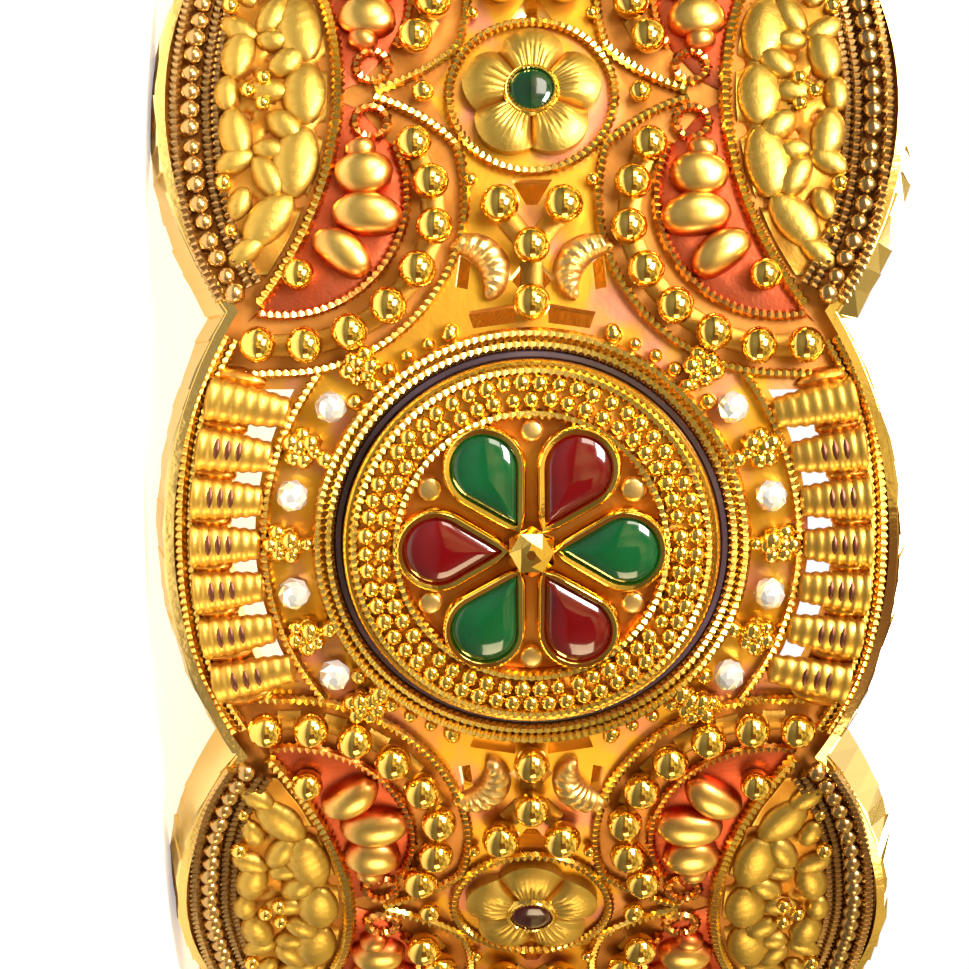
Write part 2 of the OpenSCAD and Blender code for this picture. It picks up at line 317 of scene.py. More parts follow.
def new_group(name, inputs, outputs):
    """An empty node group with named sockets. Gives the group, its input node and its output node."""
    group = bpy.data.node_groups.new(name, "ShaderNodeTree")
    for label, kind in inputs:
        group.interface.new_socket(label, in_out="INPUT", socket_type=kind)
    for label, kind in outputs:
        group.interface.new_socket(label, in_out="OUTPUT", socket_type=kind)
    return group, group.nodes.new("NodeGroupInput"), group.nodes.new("NodeGroupOutput")


def add(tree, kind, links=(), **values):
    """Adds a node and sets its values. Each input is given as (input, output socket to link or value)."""
    node = tree.nodes.new(kind)
    for key, value in values.items():
        setattr(node, key, value)
    for name, source in links:
        if hasattr(source, "is_linked"):
            tree.links.new(source, node.inputs[name])
        else:
            node.inputs[name].default_value = source
    return node


FLOAT, COLOUR, VECTOR = "NodeSocketFloat", "NodeSocketColor", "NodeSocketVector"

print(f"half-bright on a screen is {srgb(128, 128, 128)[0]:.3f} in linear light")

# %% [markdown]
# ## Relief
# Low places of a relief lie in shade and the crowns catch the light, so the colour gets painted shade low
# down. A spot's height on a bangle is its distance from the wrist's axis, sqrt(x^2 + y^2), so no map has
# to be made: the group turns that length into a share that is 0 at one height and 1 at another.

# %% The relief group
relief_group, gi, go = new_group("relief height", [("Where", VECTOR), ("Low", FLOAT), ("High", FLOAT)],
                                 [("Share", FLOAT)])
parts = add(relief_group, "ShaderNodeSeparateXYZ", [(0, gi.outputs["Where"])])
flat = add(relief_group, "ShaderNodeCombineXYZ", [(0, parts.outputs[0]), (1, parts.outputs[1])])
reach = add(relief_group, "ShaderNodeVectorMath", [(0, flat.outputs[0])], operation="LENGTH")
share = add(relief_group, "ShaderNodeMapRange", [(0, reach.outputs["Value"]), (1, gi.outputs["Low"]),
                                                  (2, gi.outputs["High"])])
relief_group.links.new(share.outputs[0], go.inputs["Share"])


def relief(tree, where, low, high):
    """How high a spot lies between two distances from the axis in mm: 0 at low, 1 at high."""
    return add(tree, "ShaderNodeGroup", [("Where", where), ("Low", low * MM), ("High", high * MM)],
               node_tree=relief_group).outputs[0]


print("group:", relief_group.name)

# %% [markdown]
# ## Painted shade and highlights
# The painted shade lies in low places and creases, but never evenly: it clouds. The group adds up the
# relief, a cloudy noise and the crest, which is the piece's own attribute, above 0 where the surface
# bulges and below 0 in a crease. The sum mixes two colours and two roughnesses: darker and duller in
# the painted shade, lighter and smoother on crowns and bulges.

# %% The painted shade group
painted_shade_group, gi, go = new_group(
    "painted shade and highlights",
    [("Where", VECTOR), ("Share", FLOAT), ("Crest", FLOAT), ("Crown", COLOUR), ("Shaded", COLOUR),
     ("Patches", FLOAT), ("Smooth", FLOAT), ("Rough", FLOAT)],
    [("Colour", COLOUR), ("Roughness", FLOAT)])
cloud = add(painted_shade_group, "ShaderNodeTexNoise", [
    ("Vector", gi.outputs["Where"]), ("Scale", gi.outputs["Patches"]), ("Detail", 3.0)])
shift = add(painted_shade_group, "ShaderNodeMath", [(0, cloud.outputs[0]), (1, -0.5)], operation="ADD")
bulge = add(painted_shade_group, "ShaderNodeMath", [(0, gi.outputs["Crest"]), (1, 1.6), (2, gi.outputs["Share"])],
            operation="MULTIPLY_ADD")
swing = add(painted_shade_group, "ShaderNodeMath", [(0, shift.outputs[0]), (1, 0.8), (2, bulge.outputs[0])],
            operation="MULTIPLY_ADD", use_clamp=True)
tint = add(painted_shade_group, "ShaderNodeMix", [("Factor", swing.outputs[0])], data_type="RGBA")
painted_shade_group.links.new(gi.outputs["Shaded"], tint.inputs[6])
painted_shade_group.links.new(gi.outputs["Crown"], tint.inputs[7])
rough = add(painted_shade_group, "ShaderNodeMapRange", [(0, swing.outputs[0]), (3, gi.outputs["Rough"]),
                                               (4, gi.outputs["Smooth"])])
painted_shade_group.links.new(tint.outputs[2], go.inputs["Colour"])
painted_shade_group.links.new(rough.outputs[0], go.inputs["Roughness"])
print("group:", painted_shade_group.name)

# %% [markdown]
# ## Tool marks
# A hammer, a burnisher and the polishing thread leave dents that are too small to model and too strong to
# leave out: without them gold looks like plastic. Two noises, one of them three times as fine, add up to a
# height, and a Bump node in each material tilts the light with it.

# %% The tool marks group
marks_group, gi, go = new_group("tool marks", [("Where", VECTOR), ("Scale", FLOAT)], [("Height", FLOAT)])
dents = add(marks_group, "ShaderNodeTexNoise", [
    ("Vector", gi.outputs["Where"]), ("Scale", gi.outputs["Scale"]), ("Detail", 0.0)])
finer = add(marks_group, "ShaderNodeMath", [(0, gi.outputs["Scale"]), (1, 3.0)], operation="MULTIPLY")
grain = add(marks_group, "ShaderNodeTexNoise", [
    ("Vector", gi.outputs["Where"]), ("Scale", finer.outputs[0]), ("Detail", 1.0)])
both = add(marks_group, "ShaderNodeMath", [(0, dents.outputs[0]), (1, grain.outputs[0])], operation="ADD")
marks_group.links.new(both.outputs[0], go.inputs["Height"])
print("node groups:", [g.name for g in bpy.data.node_groups])

# %% [markdown]
# ## One recipe for every gold
# All the golds share a recipe and differ in numbers: the crown colour and the painted shade colour of low
# places and creases, between which heights the colour changes, how smooth the crowns are and how strongly
# the tool marks show. One function with those numbers keeps them alike, as one workshop would, and a
# change of the recipe reaches them all.

# %% The recipe
MARK_DEPTH = 0.03 * MM    # height of the tool marks at full strength


def blank_material(name):
    """A material with an empty node tree. Gives the material, its tree and the Object coordinates."""
    made = bpy.data.materials.new(name)
    made.use_nodes = True
    made.node_tree.nodes.clear()
    return made, made.node_tree, add(made.node_tree, "ShaderNodeTexCoord").outputs["Object"]


def surface(tree, where, colour, roughness, metallic, marks, dent, coat=0.0, coat_rough=0.05):
    """Ends a material. The tool marks tilt the normal, as a relief of 0.03 mm times dent, and a Principled
    shader takes the rest: numbers or sockets."""
    mark = add(tree, "ShaderNodeGroup", [("Where", where), ("Scale", marks)], node_tree=marks_group)
    bump = add(tree, "ShaderNodeBump", [
        ("Strength", dent), ("Distance", MARK_DEPTH), ("Height", mark.outputs[0])])
    shader = add(tree, "ShaderNodeBsdfPrincipled", [
        ("Base Color", colour), ("Roughness", roughness), ("Metallic", metallic),
        ("Normal", bump.outputs[0]), ("Coat Weight", coat), ("Coat Roughness", coat_rough)])
    add(tree, "ShaderNodeOutputMaterial", [(0, shader.outputs[0])])


def metal(name, crown, shaded, low=31.3, high=32.0, patches=900, smooth=0.12, rough=0.35, marks=2500,
          dent=0.15, metallic=1.0, coat=0.0, coat_rough=0.05):
    """Colour = corner + swing (crown - corner) and roughness = rough + swing (smooth - rough), where swing,
    from 0 to 1, is relief + 1.6 crest + 0.8 (cloud - 0.5). The corner colour is painted shade in low places
    and creases, and crests get a painted highlight. Low and high are in mm from the axis."""
    made, tree, where = blank_material(name)
    crest = add(tree, "ShaderNodeAttribute", attribute_name="crest").outputs["Fac"]
    shading = add(tree, "ShaderNodeGroup", [
        ("Where", where), ("Share", relief(tree, where, low, high)), ("Crest", crest),
        ("Crown", srgb(*crown)), ("Shaded", srgb(*shaded)), ("Patches", patches), ("Smooth", smooth),
        ("Rough", rough)], node_tree=painted_shade_group)
    surface(tree, where, shading.outputs["Colour"], shading.outputs["Roughness"], metallic, marks, dent, coat,
            coat_rough)
    return made


print("marks at full strength are", MARK_DEPTH / MM, "mm high")

# %% [markdown]
# ## Bright golds
# Beads and bezels are burnished until they mirror. Wires are bright only on their backs, and deep orange
# between them, where light goes from gold to gold many times. The wires in the paisleys caught some of the
# orange wash. The rims are cut with a diamond and have almost no marks, and the white balls are plated.

# %% Bright golds
polished = metal("polished gold", (255, 214, 108), (222, 124, 18), patches=700, smooth=0.1, rough=0.25,
                 dent=0.1)
wiry = metal("twisted gold wire", (250, 212, 108), (196, 104, 16), low=30.6, high=32.3, patches=500,
             smooth=0.2, rough=0.4)
washed_wire = metal("washed wire", (250, 180, 96), (168, 44, 8), low=30.6, high=32.3, patches=500,
                    smooth=0.17, rough=0.38)
rim_gold = metal("diamond-cut rim gold", (252, 226, 158), (120, 80, 40), low=29.0, high=33.6, patches=260,
                 smooth=0.05, rough=0.12, marks=300, dent=0.02)
silver = metal("rhodium white", (250, 252, 255), (214, 206, 206), low=31.3, high=31.6, smooth=0.1,
               rough=0.18, dent=0.03, metallic=0.62)
print("bright:", [m.name for m in (polished, wiry, washed_wire, rim_gold, silver)])

# %% [markdown]
# ## Matte and dark golds
# The flowers and leaves are brushed or punched to a satin, the wound barrels are dull between their turns,
# and the rows of beads along the rims are darker and browner. They differ from the bright golds only in
# higher roughness and in how far down the painted shade reaches.

# %% Matte and dark golds
ground = metal("worked gold ground", (248, 202, 92), (198, 118, 48), low=31.85, high=32.45, patches=500,
               smooth=0.22, rough=0.42, marks=1800, dent=0.3)
wound = metal("wound wire", (226, 184, 84), (204, 108, 18), low=31.4, high=32.6, patches=500, smooth=0.38,
              rough=0.48)
satin = metal("satin gold", (208, 174, 84), (182, 116, 36), low=31.35, high=32.0, patches=500, smooth=0.44,
              rough=0.54, marks=4000, dent=0.3)
pale = metal("pale gold", (240, 208, 134), (214, 156, 78), low=31.6, high=32.0, smooth=0.35, rough=0.5,
             marks=3000, dent=0.2)
dark_border_gold = metal("dark border gold", (200, 164, 108), (96, 58, 28), low=31.3, high=32.2, smooth=0.26, rough=0.48)
shade = metal("painted shade between turns", (124, 78, 62), (82, 44, 34), smooth=0.4, rough=0.55)
print("matte and dark:", [m.name for m in (ground, wound, satin, pale, dark_border_gold, shade)])

# %% [markdown]
# ## Enamels
# Enamel is coloured glass melted into a cell. Its colour is darker low down in the cell, as painted shade,
# and lighter on top; it is cloudy where the grains didn't melt together, and its skin is smoother than any
# metal. Real glass with light inside it would be slow to render, so the recipe for gold serves again,
# without the metal and under a clear coat. The petals of the paisleys have only an orange-red wash, thick
# in the corners, where it pooled, and thin on the crowns, with painted shade low down as well.

# %% The enamels
def enamel(name, deep, light, scale, low, high):
    """The recipe of the golds with metallic 0 and a full coat. Deep is the colour at low, light at high."""
    return metal(name, light, deep, low, high, scale, smooth=0.06, rough=0.18, marks=700, dent=0.08,
                 metallic=0.0, coat=1.0, coat_rough=0.03)


green = enamel("green enamel", (0, 32, 16), (0, 92, 46), 500, 32.4, 33.3)
red = enamel("red enamel", (44, 0, 4), (118, 0, 10), 500, 32.4, 33.3)
dark = enamel("painted dark reflection line", (26, 6, 2), (140, 122, 144), 160, 31.9, 32.5)
orange = metal("orange wash over gold", (252, 212, 116), (196, 42, 0), low=31.86, high=32.24, patches=800,
               smooth=0.3, rough=0.42, dent=0.1, coat=0.15)
orange_floor = metal("orange washed floor", (196, 104, 70), (172, 52, 12), low=31.25, high=31.6,
                     patches=700, smooth=0.42, rough=0.55, dent=0.3)
print("enamelled:", [m.name for m in (green, red, dark, orange, orange_floor)])

# %% [markdown]
# ## Crests and creases
# A relief hides its edges unless they catch another colour, so bulges get a painted highlight and creases
# painted shade.
# Blender can find this while it renders, but only in one engine. A number kept on each point is cheaper and
# is worked out here for a whole mesh at once.

# %% Crests and creases
def crest_of(mesh, points):
    """For each point, how far it stands out from the mean of its neighbours along its normal, as a share
    of the mean distance to them: above 0 on a bulge, 0 on a flat, below 0 in a crease."""
    ends = np.empty(2 * len(mesh.edges), np.int32)
    mesh.edges.foreach_get("vertices", ends)
    a, b = ends.reshape(-1, 2).T
    normals = np.empty(3 * len(points), np.float32)
    mesh.vertex_normals.foreach_get("vector", normals)
    step = points[b] - points[a]
    length = np.linalg.norm(step, axis=1)
    total, run = np.zeros_like(points), np.zeros(len(points))
    for here, way in ((a, step), (b, -step)):
        for axis in range(3):
            total[:, axis] += np.bincount(here, way[:, axis], len(points))
        run += np.bincount(here, length, len(points))
    return -(total * normals.reshape(-1, 3)).sum(1) / np.maximum(run, 1e-9)


print("helper ready:", crest_of.__name__)

# %% [markdown]
# ## From shape to piece
# A finished piece is bent round the band, written into a mesh in one go and tied to the bangle. Adding
# thousands of balls one by one would take minutes, but as arrays they take less than a second. Edges
# sharper than a set angle stay crisp, so a turned step looks turned and a ball looks round.

# %% Making a piece
def make(name, shape, material, replaces=(), crisp=42.0):
    """Bends the flat shape and writes it into a mesh. A face whose third and fourth numbers are the same
    has three corners. The piece rides on the bangle and stands for the CAD nodes named."""
    flat_points, faces = shape
    points = bend(flat_points)
    corners = np.ones(faces.shape, bool)
    corners[faces[:, 2] == faces[:, 3], 3] = False
    sizes = corners.sum(1)
    mesh = bpy.data.meshes.new(name)
    mesh.vertices.add(len(points))
    mesh.vertices.foreach_set("co", points.astype(np.float32).ravel())
    mesh.loops.add(int(sizes.sum()))
    mesh.loops.foreach_set("vertex_index", faces[corners].astype(np.int32))
    mesh.polygons.add(len(faces))
    mesh.polygons.foreach_set("loop_start", np.concatenate([[0], np.cumsum(sizes)[:-1]]).astype(np.int32))
    mesh.update(calc_edges=True)
    mesh.polygons.foreach_set("use_smooth", np.ones(len(faces), bool))
    mesh.set_sharp_from_angle(angle=math.radians(crisp))
    crest = mesh.attributes.new("crest", "FLOAT", "POINT")
    crest.data.foreach_set("value", crest_of(mesh, points).astype(np.float32))
    mesh.materials.append(material)
    piece = bpy.data.objects.new(name, mesh)
    bpy.context.scene.collection.objects.link(piece)
    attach(piece, "root")
    if replaces:
        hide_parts(*replaces)
    print(f"{name}: {int((sizes - 2).sum())} triangles")


def names(stem):
    """CAD nodes whose names start like this."""
    return [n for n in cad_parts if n.startswith(stem)]


print("CAD medallions to stand for:", len(names("medallion_")))

# %% [markdown]
# ## The hand's scatter
# No two grains of solderwork are alike, and rows of perfect copies look like a machine's. Each spot moves
# a little and each size differs a little, by draws from one seeded generator, so that every run is the same.

# %% Scatter
chance = np.random.default_rng(11)


def handmade(spots, wander=0.02, spread=0.04):
    """Spot = spot + wander * n in the pattern's plane, and size = 1 + spread * n, with n drawn from a normal
    distribution. Wander is in mm."""
    spots = np.asarray(spots, float)
    moved = spots + np.concatenate([chance.normal(0, wander, (len(spots), 2)), np.zeros((len(spots), 1))], 1)
    return moved, 1 + chance.normal(0, spread, len(spots))


print(f"a grain of 0.33 mm wanders by about {0.02 / 0.33:.0%} of its radius")

# %% [markdown]
# ## The band
# The pierced sheet and its two rims are the CAD node itself and only get their finish, in zones by height:
# polished gold in the bore, a darker matte ground on the outer face, and bright rims. Inside the chains of
# beads the ground is red-brown. Outside them it lies in patches of pink-brown and yellow. That border is a
# distance on the flat pattern, worked out from the coordinates, so that the band needs no seams and no
# painted mask.

# %% Distance from the chain
CHAIN_U, CHAIN_V = 4.0, 8.9
CHAIN_OUTER, CHAIN_BEADS, CHAIN_INNER = 6.5, 5.55, 4.4


def math_node(tree, operation, *inputs):
    """One step of arithmetic on sockets or numbers. Gives the result's socket."""
    return add(tree, "ShaderNodeMath", list(enumerate(inputs)), operation=operation).outputs[0]


# In mm, on the flat pattern: sqrt((|u| - 4)^2 + (|v| - 8.9)^2), with u counted from the nearest flower
chain_group, gi, go = new_group("distance from the chain", [("Where", VECTOR)], [("Distance", FLOAT)])
parts = add(chain_group, "ShaderNodeSeparateXYZ", [(0, gi.outputs["Where"])]).outputs
turn = math_node(chain_group, "ARCTAN2", parts[1], parts[0])
periods = math_node(chain_group, "MULTIPLY_ADD", turn, LOBES / TAU, 0.5)
off = math_node(chain_group, "PINGPONG", periods, 0.5)
u_off = math_node(chain_group, "MULTIPLY_ADD", off, 2 * HALF_STEP, -CHAIN_U)
v_up = math_node(chain_group, "ABSOLUTE", math_node(chain_group, "MULTIPLY_ADD", parts[2], 1 / MM, -MIDDLE))
v_off = math_node(chain_group, "SUBTRACT", v_up, CHAIN_V)
across = add(chain_group, "ShaderNodeCombineXYZ", [(0, u_off), (1, v_off)])
reach = add(chain_group, "ShaderNodeVectorMath", [(0, across.outputs[0])], operation="LENGTH")
chain_group.links.new(reach.outputs["Value"], go.inputs["Distance"])
print("group:", chain_group.name)

# %% [markdown]
# ## Colours of the band
# The finishes of one solid meet without a seam when they are one material. Each zone is a number from 0 to 1,
# and the colours are mixed by these one after another, like coats of paint put on through stencils.

# %% Colours of the band
def mixed(tree, factor, low, high):
    """A colour between two others, which are colours or sockets."""
    node = add(tree, "ShaderNodeMix", [("Factor", factor)], data_type="RGBA")
    for socket, value in ((node.inputs[6], low), (node.inputs[7], high)):
        if hasattr(value, "is_linked"):
            tree.links.new(value, socket)
        else:
            socket.default_value = srgb(*value)
    return node.outputs[2]


def ramp(tree, value, low, high, start=0.0, end=1.0):
    """A number that runs from start to end while the value runs from low to high."""
    return add(tree, "ShaderNodeMapRange", [(0, value), (1, low), (2, high), (3, start), (4, end)]).outputs[0]


def band_finish():
    """Outer is 0 in the bore and 1 on the face, rim is 1 on the rims' tops, and outside is 1 outside the
    chains. Colour, roughness and metal are mixed by these, and the two patchy colours by noise."""
    made, tree, where = blank_material("pierced band")
    outer, rim = relief(tree, where, 30.25, 31.2), relief(tree, where, 31.4, 31.7)
    chain = add(tree, "ShaderNodeGroup", [("Where", where)], node_tree=chain_group).outputs[0]
    outside = ramp(tree, chain, CHAIN_OUTER - 0.1, CHAIN_OUTER + 0.1)
    cloud = add(tree, "ShaderNodeTexNoise", [("Vector", where), ("Scale", 600.0), ("Detail", 3.0)]).outputs[0]
    ground_in_chains = mixed(tree, ramp(tree, cloud, 0.35, 0.65), (172, 106, 28), (204, 138, 62))
    broad = add(tree, "ShaderNodeTexNoise", [("Vector", where), ("Scale", 420.0), ("Detail", 2.0)]).outputs[0]
    patchy = mixed(tree, ramp(tree, broad, 0.37, 0.52), (212, 140, 108), (222, 166, 54))
    face = mixed(tree, outside, ground_in_chains, patchy)
    colour = mixed(tree, rim, mixed(tree, outer, (246, 204, 110), face), (252, 216, 128))
    matte = math_node(tree, "MULTIPLY", outer, math_node(tree, "SUBTRACT", 1.0, rim))
    dull = math_node(tree, "MULTIPLY", matte, math_node(tree, "SUBTRACT", 1.0, outside))
    surface(tree, where, colour, ramp(tree, matte, 0, 1, 0.14, 0.5), ramp(tree, dull, 0, 1, 1.0, 0.6),
            marks=1500, dent=0.25)
    return made


band_gold = band_finish()
for slot_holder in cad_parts["band"].material_slots:
    slot_holder.material = band_gold
print("the band wears:", band_gold.name)

# %% [markdown]
# ## Cut rims
# The rims were cut with a diamond tool: short flat facets, each at its own tilt, flash one after another
# along the edge. A bump would only blur the reflection, so they are thin flats laid on the slope of the
# rim, with a jump in tilt from one to the next.

# %% Slope of the rims
BORE = 30.15
RIM_TOP = 32.0
NOTCH = 11.45    # half height of the band in the notch between two lobes
FLOWER_HALF, MEDALLION_HALF = 14.1, 13.65
FLARE = 0.5      # how much lower the slope is at its top than at the bore


def rim_v(u, r, half):
    """Height of the rim's slope at (u, r): a cone about the lobe's own normal. With x = r sin(u / 32) and
    z = r cos(u / 32), v = half - R + sqrt((R - slope (z - bore))^2 - x^2)."""
    rise, width = half - NOTCH, BORE * math.sin(math.pi / LOBES / 2)
    big = (rise**2 + width**2) / (2 * rise)
    x, z = r * np.sin(u / PATTERN_R), r * np.cos(u / PATTERN_R)
    return half - big + np.sqrt((big - FLARE / (RIM_TOP - BORE) * (z - BORE)) ** 2 - x**2)


print(f"slope of a flower lobe: {rim_v(0, BORE, FLOWER_HALF) - rim_v(0, RIM_TOP, FLOWER_HALF):.2f} mm")

# %% [markdown]
# ## Facets
# The tool is set down anew for each cut, so the facets' lengths and tilts differ. A random tenth of a
# millimetre at their corners is enough, since a flat mirror turns light by twice its own tilt. Each facet
# is a plate of eight points, so all of them are one array.

# %% Facets of the rims
def rim_facets(half, count=19, thick=0.26):
    """Thin plates on the slope, from one notch to the next. Their edges wander by 0.12 mm times a normal
    draw, and each outer corner stands 0.01 to 0.14 mm off the slope, but never as low as the table."""
    reach = HALF_STEP / 2
    edges = np.linspace(-reach, reach, count + 1)
    edges[1:-1] += chance.normal(0, 0.12, count - 1)
    u = np.stack([edges[:-1], edges[1:], edges[1:], edges[:-1]], 1)
    near, far = BORE + 0.12, RIM_TOP - 0.1
    r = np.broadcast_to([near, near, far, far], u.shape)
    v = rim_v(u, r, half) + chance.uniform(0.01, 0.14, u.shape)
    face = np.stack([u, np.minimum(v, MIDDLE - 0.01), r], -1)
    points = np.concatenate([face, face - [0, thick, 0]], 1).reshape(-1, 3)
    box = np.array([[0, 1, 2, 3], [7, 6, 5, 4], [1, 0, 4, 5], [2, 1, 5, 6], [3, 2, 6, 7], [0, 3, 7, 4]])
    faces = (box[None] + 8 * np.arange(count)[:, None, None]).reshape(-1, 4)
    return outward((points, faces))


make("rim_facets", joined(round_band(mirrored(rim_facets(FLOWER_HALF), 1), True),
                          round_band(mirrored(rim_facets(MEDALLION_HALF), 1), False)),
     rim_gold, crisp=2.0)

# %% [markdown]
# ## Medallions
# A medallion is turned like a little dish: an outer step for two twisted rings, a groove for a dark line, a
# bright ledge, and the raised ring that carries two rows of grains round the flower of pears. One
# profile of (distance, height) holds all these steps, from the outer foot inwards.

# %% Medallion dish
DISH = [(7.9, 31.28), (7.93, 31.66), (7.85, 31.76), (7.14, 31.78), (7.1, 31.6), (6.8, 31.6), (6.78, 32.1),
        (6.74, 32.26), (6.66, 32.34), (6.56, 32.34), (6.46, 32.24), (6.3, 32.2), (4.98, 32.2), (4.9, 32.26),
        (4.78, 32.24), (4.72, 32.1), (4.7, 31.97), (4.4, 31.93), (3.0, 31.93), (0.6, 31.95)]
make("medallion_dishes", round_band(turned(DISH, 96), False), ground, names("medallion_"))

# %% [markdown]
# ## Dark line
# The groove holds a dark ring, which frames the medallion like a drawn circle. Its near-black colour is a
# painted reflection, standing for a polished wall that mirrors dark surroundings. It stands a little proud
# and rounded, so its section is a low trapezium carried round.

# %% Dark line of painted reflection
LINE_R = 6.95
ring_path = at_level(circle(LINE_R, 120), 0)
ring_section = [(0.15, 31.56), (0.14, 31.8), (0.08, 31.88), (-0.08, 31.88), (-0.14, 31.8), (-0.15, 31.56)]
make("medallion_dark_lines", round_band(along(ring_path, ring_section, True), False), dark)

# %% [markdown]
# ## Twisted rings
# Filigree wire is two fine wires twisted together, hammered a little and soldered on as a border. Two rings
# lie outside the dark line and one on each side of the grains. They are made as one tube with a bulge that
# changes sides, which gives the same string of slanting beads of light.

# %% Twisted rings of the medallions
RING_PLACES = ((7.7, 31.92), (7.3, 31.9), (6.36, 32.34), (4.86, 32.36))
rings = [twisted(circle(r), level, True) for r, level in RING_PLACES]
make("medallion_twisted_rings", round_band(joined(*rings), False), wiry)

# %% [markdown]
# ## Grains
# Granulation: snippets of gold melted on charcoal draw up into balls, which are set in rows and fused. Two
# rows stand in the raised ring, the outer with more grains than the inner. Instances would be lighter, but
# the bangle is handed on as plain meshes, so the grains are copied into one.

# %% Rows of grains
def ring_spots(r, count, level, start=0.0):
    """Spots at equal angles on a ring: angle = 360 (j + start) / count degrees, at one level."""
    t = TAU * (np.arange(count) + start) / count
    return np.stack([r * np.cos(t), r * np.sin(t), np.full(count, level)], -1)


GRAIN_LEVEL = 32.36
grain_ball = ball(0.33, 8, 5)
grains = []
for k in range(LOBES):
    rows = [ring_spots(5.92, 57, GRAIN_LEVEL), ring_spots(5.35, 51, GRAIN_LEVEL, 0.5)]
    spots, sizes = handmade(np.concatenate(rows), 0.02, 0.05)
    grains.append(copies(grain_ball, spots + [2 * k * HALF_STEP, 0, 0], 0, sizes))
make("medallion_grains", joined(*grains), polished)

# %% [markdown]
# ## Loose grains
# A few larger grains were laid round the outside of each medallion, where it meets the flower panels. Their
# sizes differ more than the others', so they are given one by one for a quarter and mirrored.

# %% Loose grains outside a medallion
outer_turns = np.radians(21 + 5.9 * np.arange(6))
outer_grains = np.stack([8.2 * np.cos(outer_turns), 8.2 * np.sin(outer_turns), np.full(6, 31.6)], -1)
loose = copies(ball(0.3, 10, 5), outer_grains, 0, [1.15, 0.85, 0.9, 1, 0.85, 1.1])
make("outer_grains", round_band(four_ways(loose), False), polished)

# %% [markdown]
# ## Pears
# Six pears lie round a faceted stud, their tips towards it. Each is a cell of thin strip, bent on edge,
# filled with enamel that stands a little domed. The outline is two straight sides that run into an arc, and
# it serves twice: shrunk in rings it makes the enamel, and with a section carried along it, the strip.

# %% Outline of a pear
PEAR_R, PEAR_OUT, PEAR_TIP = 1.2, 3.38, 0.9
PEAR_FLOOR, PEAR_TOP = 31.95, 32.72


def pear_line(grow=0.0, steps=26):
    """The arc turns from -(90 + lean) to 90 + lean about the round end; the sides meet in the tip."""
    lean = math.asin(PEAR_R / (PEAR_OUT - PEAR_TIP))
    r = PEAR_R + grow
    t = np.linspace(-(math.pi / 2 + lean), math.pi / 2 + lean, steps)
    round_end = np.stack([PEAR_OUT + r * np.cos(t), r * np.sin(t)], -1)
    tip = np.array([PEAR_OUT - r / math.sin(lean) + 0.12, 0])
    side = np.linspace(0.25, 0.85, 4)[:, None]
    return np.concatenate([round_end, round_end[-1] + side * (tip - round_end[-1]), tip[None],
                           round_end[0] + side[::-1] * (tip - round_end[0])])


print(f"the sides of a pear lean {math.degrees(math.asin(PEAR_R / (PEAR_OUT - PEAR_TIP))):.0f} degrees")

# %% [markdown]
# ## Enamel and its cells
# Three pears are green and three ruby, in turns. Enamel creeps up the strip and sinks a little as it cools,
# so the body keeps clear of the outline and is domed only in its last fifth of a millimetre.

# %% Enamel and its cells
pear_body = dome(pear_line(-0.04), (PEAR_OUT - 0.35, 0), [
    (1.0, PEAR_FLOOR), (1.0, PEAR_TOP - 0.1), (0.93, PEAR_TOP - 0.03), (0.8, PEAR_TOP + 0.06),
    (0.6, PEAR_TOP + 0.13), (0.35, PEAR_TOP + 0.18), (0.12, PEAR_TOP + 0.2)])
bezel_section = [(0.02, 0.0), (0.02, 0.8), (-0.04, 0.88), (-0.18, 0.9), (-0.27, 0.82), (-0.32, 0.5),
                 (-0.34, 0.0)]
bezel = along(at_level(pear_line(0.0), PEAR_FLOOR - 0.05), bezel_section, True)
first = [90 + 120 * k for k in range(3)]
second = [150 + 120 * k for k in range(3)]
flat_spot = [(0, 0, 0)] * 3
make("pears_green", round_band(copies(pear_body, flat_spot, first), False), green,
     [f"pear_{i}_{j}" for i in range(1, 7) for j in (1, 3, 5)])
make("pears_red", round_band(copies(pear_body, flat_spot, second), False), red,
     [f"pear_{i}_{j}" for i in range(1, 7) for j in (2, 4, 6)])
make("pear_bezels", round_band(copies(bezel, flat_spot * 2, first + second), False), polished)

# %% [markdown]
# ## Studs
# The middle of the flower is a little stud with a table and flat facets, cut with a graver so that it
# flashes, and small round studs stand in the channels between the pears. Facets stay flat when the rings
# have few corners, each turned half a step, and when their edges are kept crisp.

# %% Studs
def cut_stud(r, height, level, sides=8):
    """A stud with a small table and a crown of flat facets: rings of the same few corners, turned half a
    step from one ring to the next."""
    t = TAU * np.arange(sides) / sides
    rows = [(1.0, -0.45, 0), (1.0, 0.0, 0), (0.86, 0.45, 0.5), (0.46, 0.9, 0), (0.2, 1.0, 0.5)]
    rings = [np.stack([s * r * np.cos(t + d * TAU / sides), s * r * np.sin(t + d * TAU / sides),
                       np.full(sides, level + h * height)], -1) for s, h, d in rows]
    return skin(np.stack(rings))


make("centre_studs", round_band(cut_stud(0.92, 0.5, 32.75, 6), False), polished, crisp=5.0)
small_stud = turned([(0.45, -0.1), (0.44, 0.17), (0.38, 0.25), (0.26, 0.29), (0.04, 0.3)], 14)
stud_sizes = [1, 0.95, 1.06, 0.92, 1.04, 0.97]
channel_studs = copies(small_stud, ring_spots(4.22, 6, 31.95), 0, stud_sizes)
make("channel_studs", round_band(channel_studs, False), pale)

# %% [markdown]
# ## Sides of a medallion
# Between the medallion and an arc of twisted wire lie small balls, plated white and cut with facets, joined
# by grains. Outside the arc, seven barrels of coiled wire spread like a fan to the rim. A cut ball needs
# only few corners with sharp edges: the light then jumps from facet to facet as it does on the real one.

# %% White balls
BALL_RING = 8.78


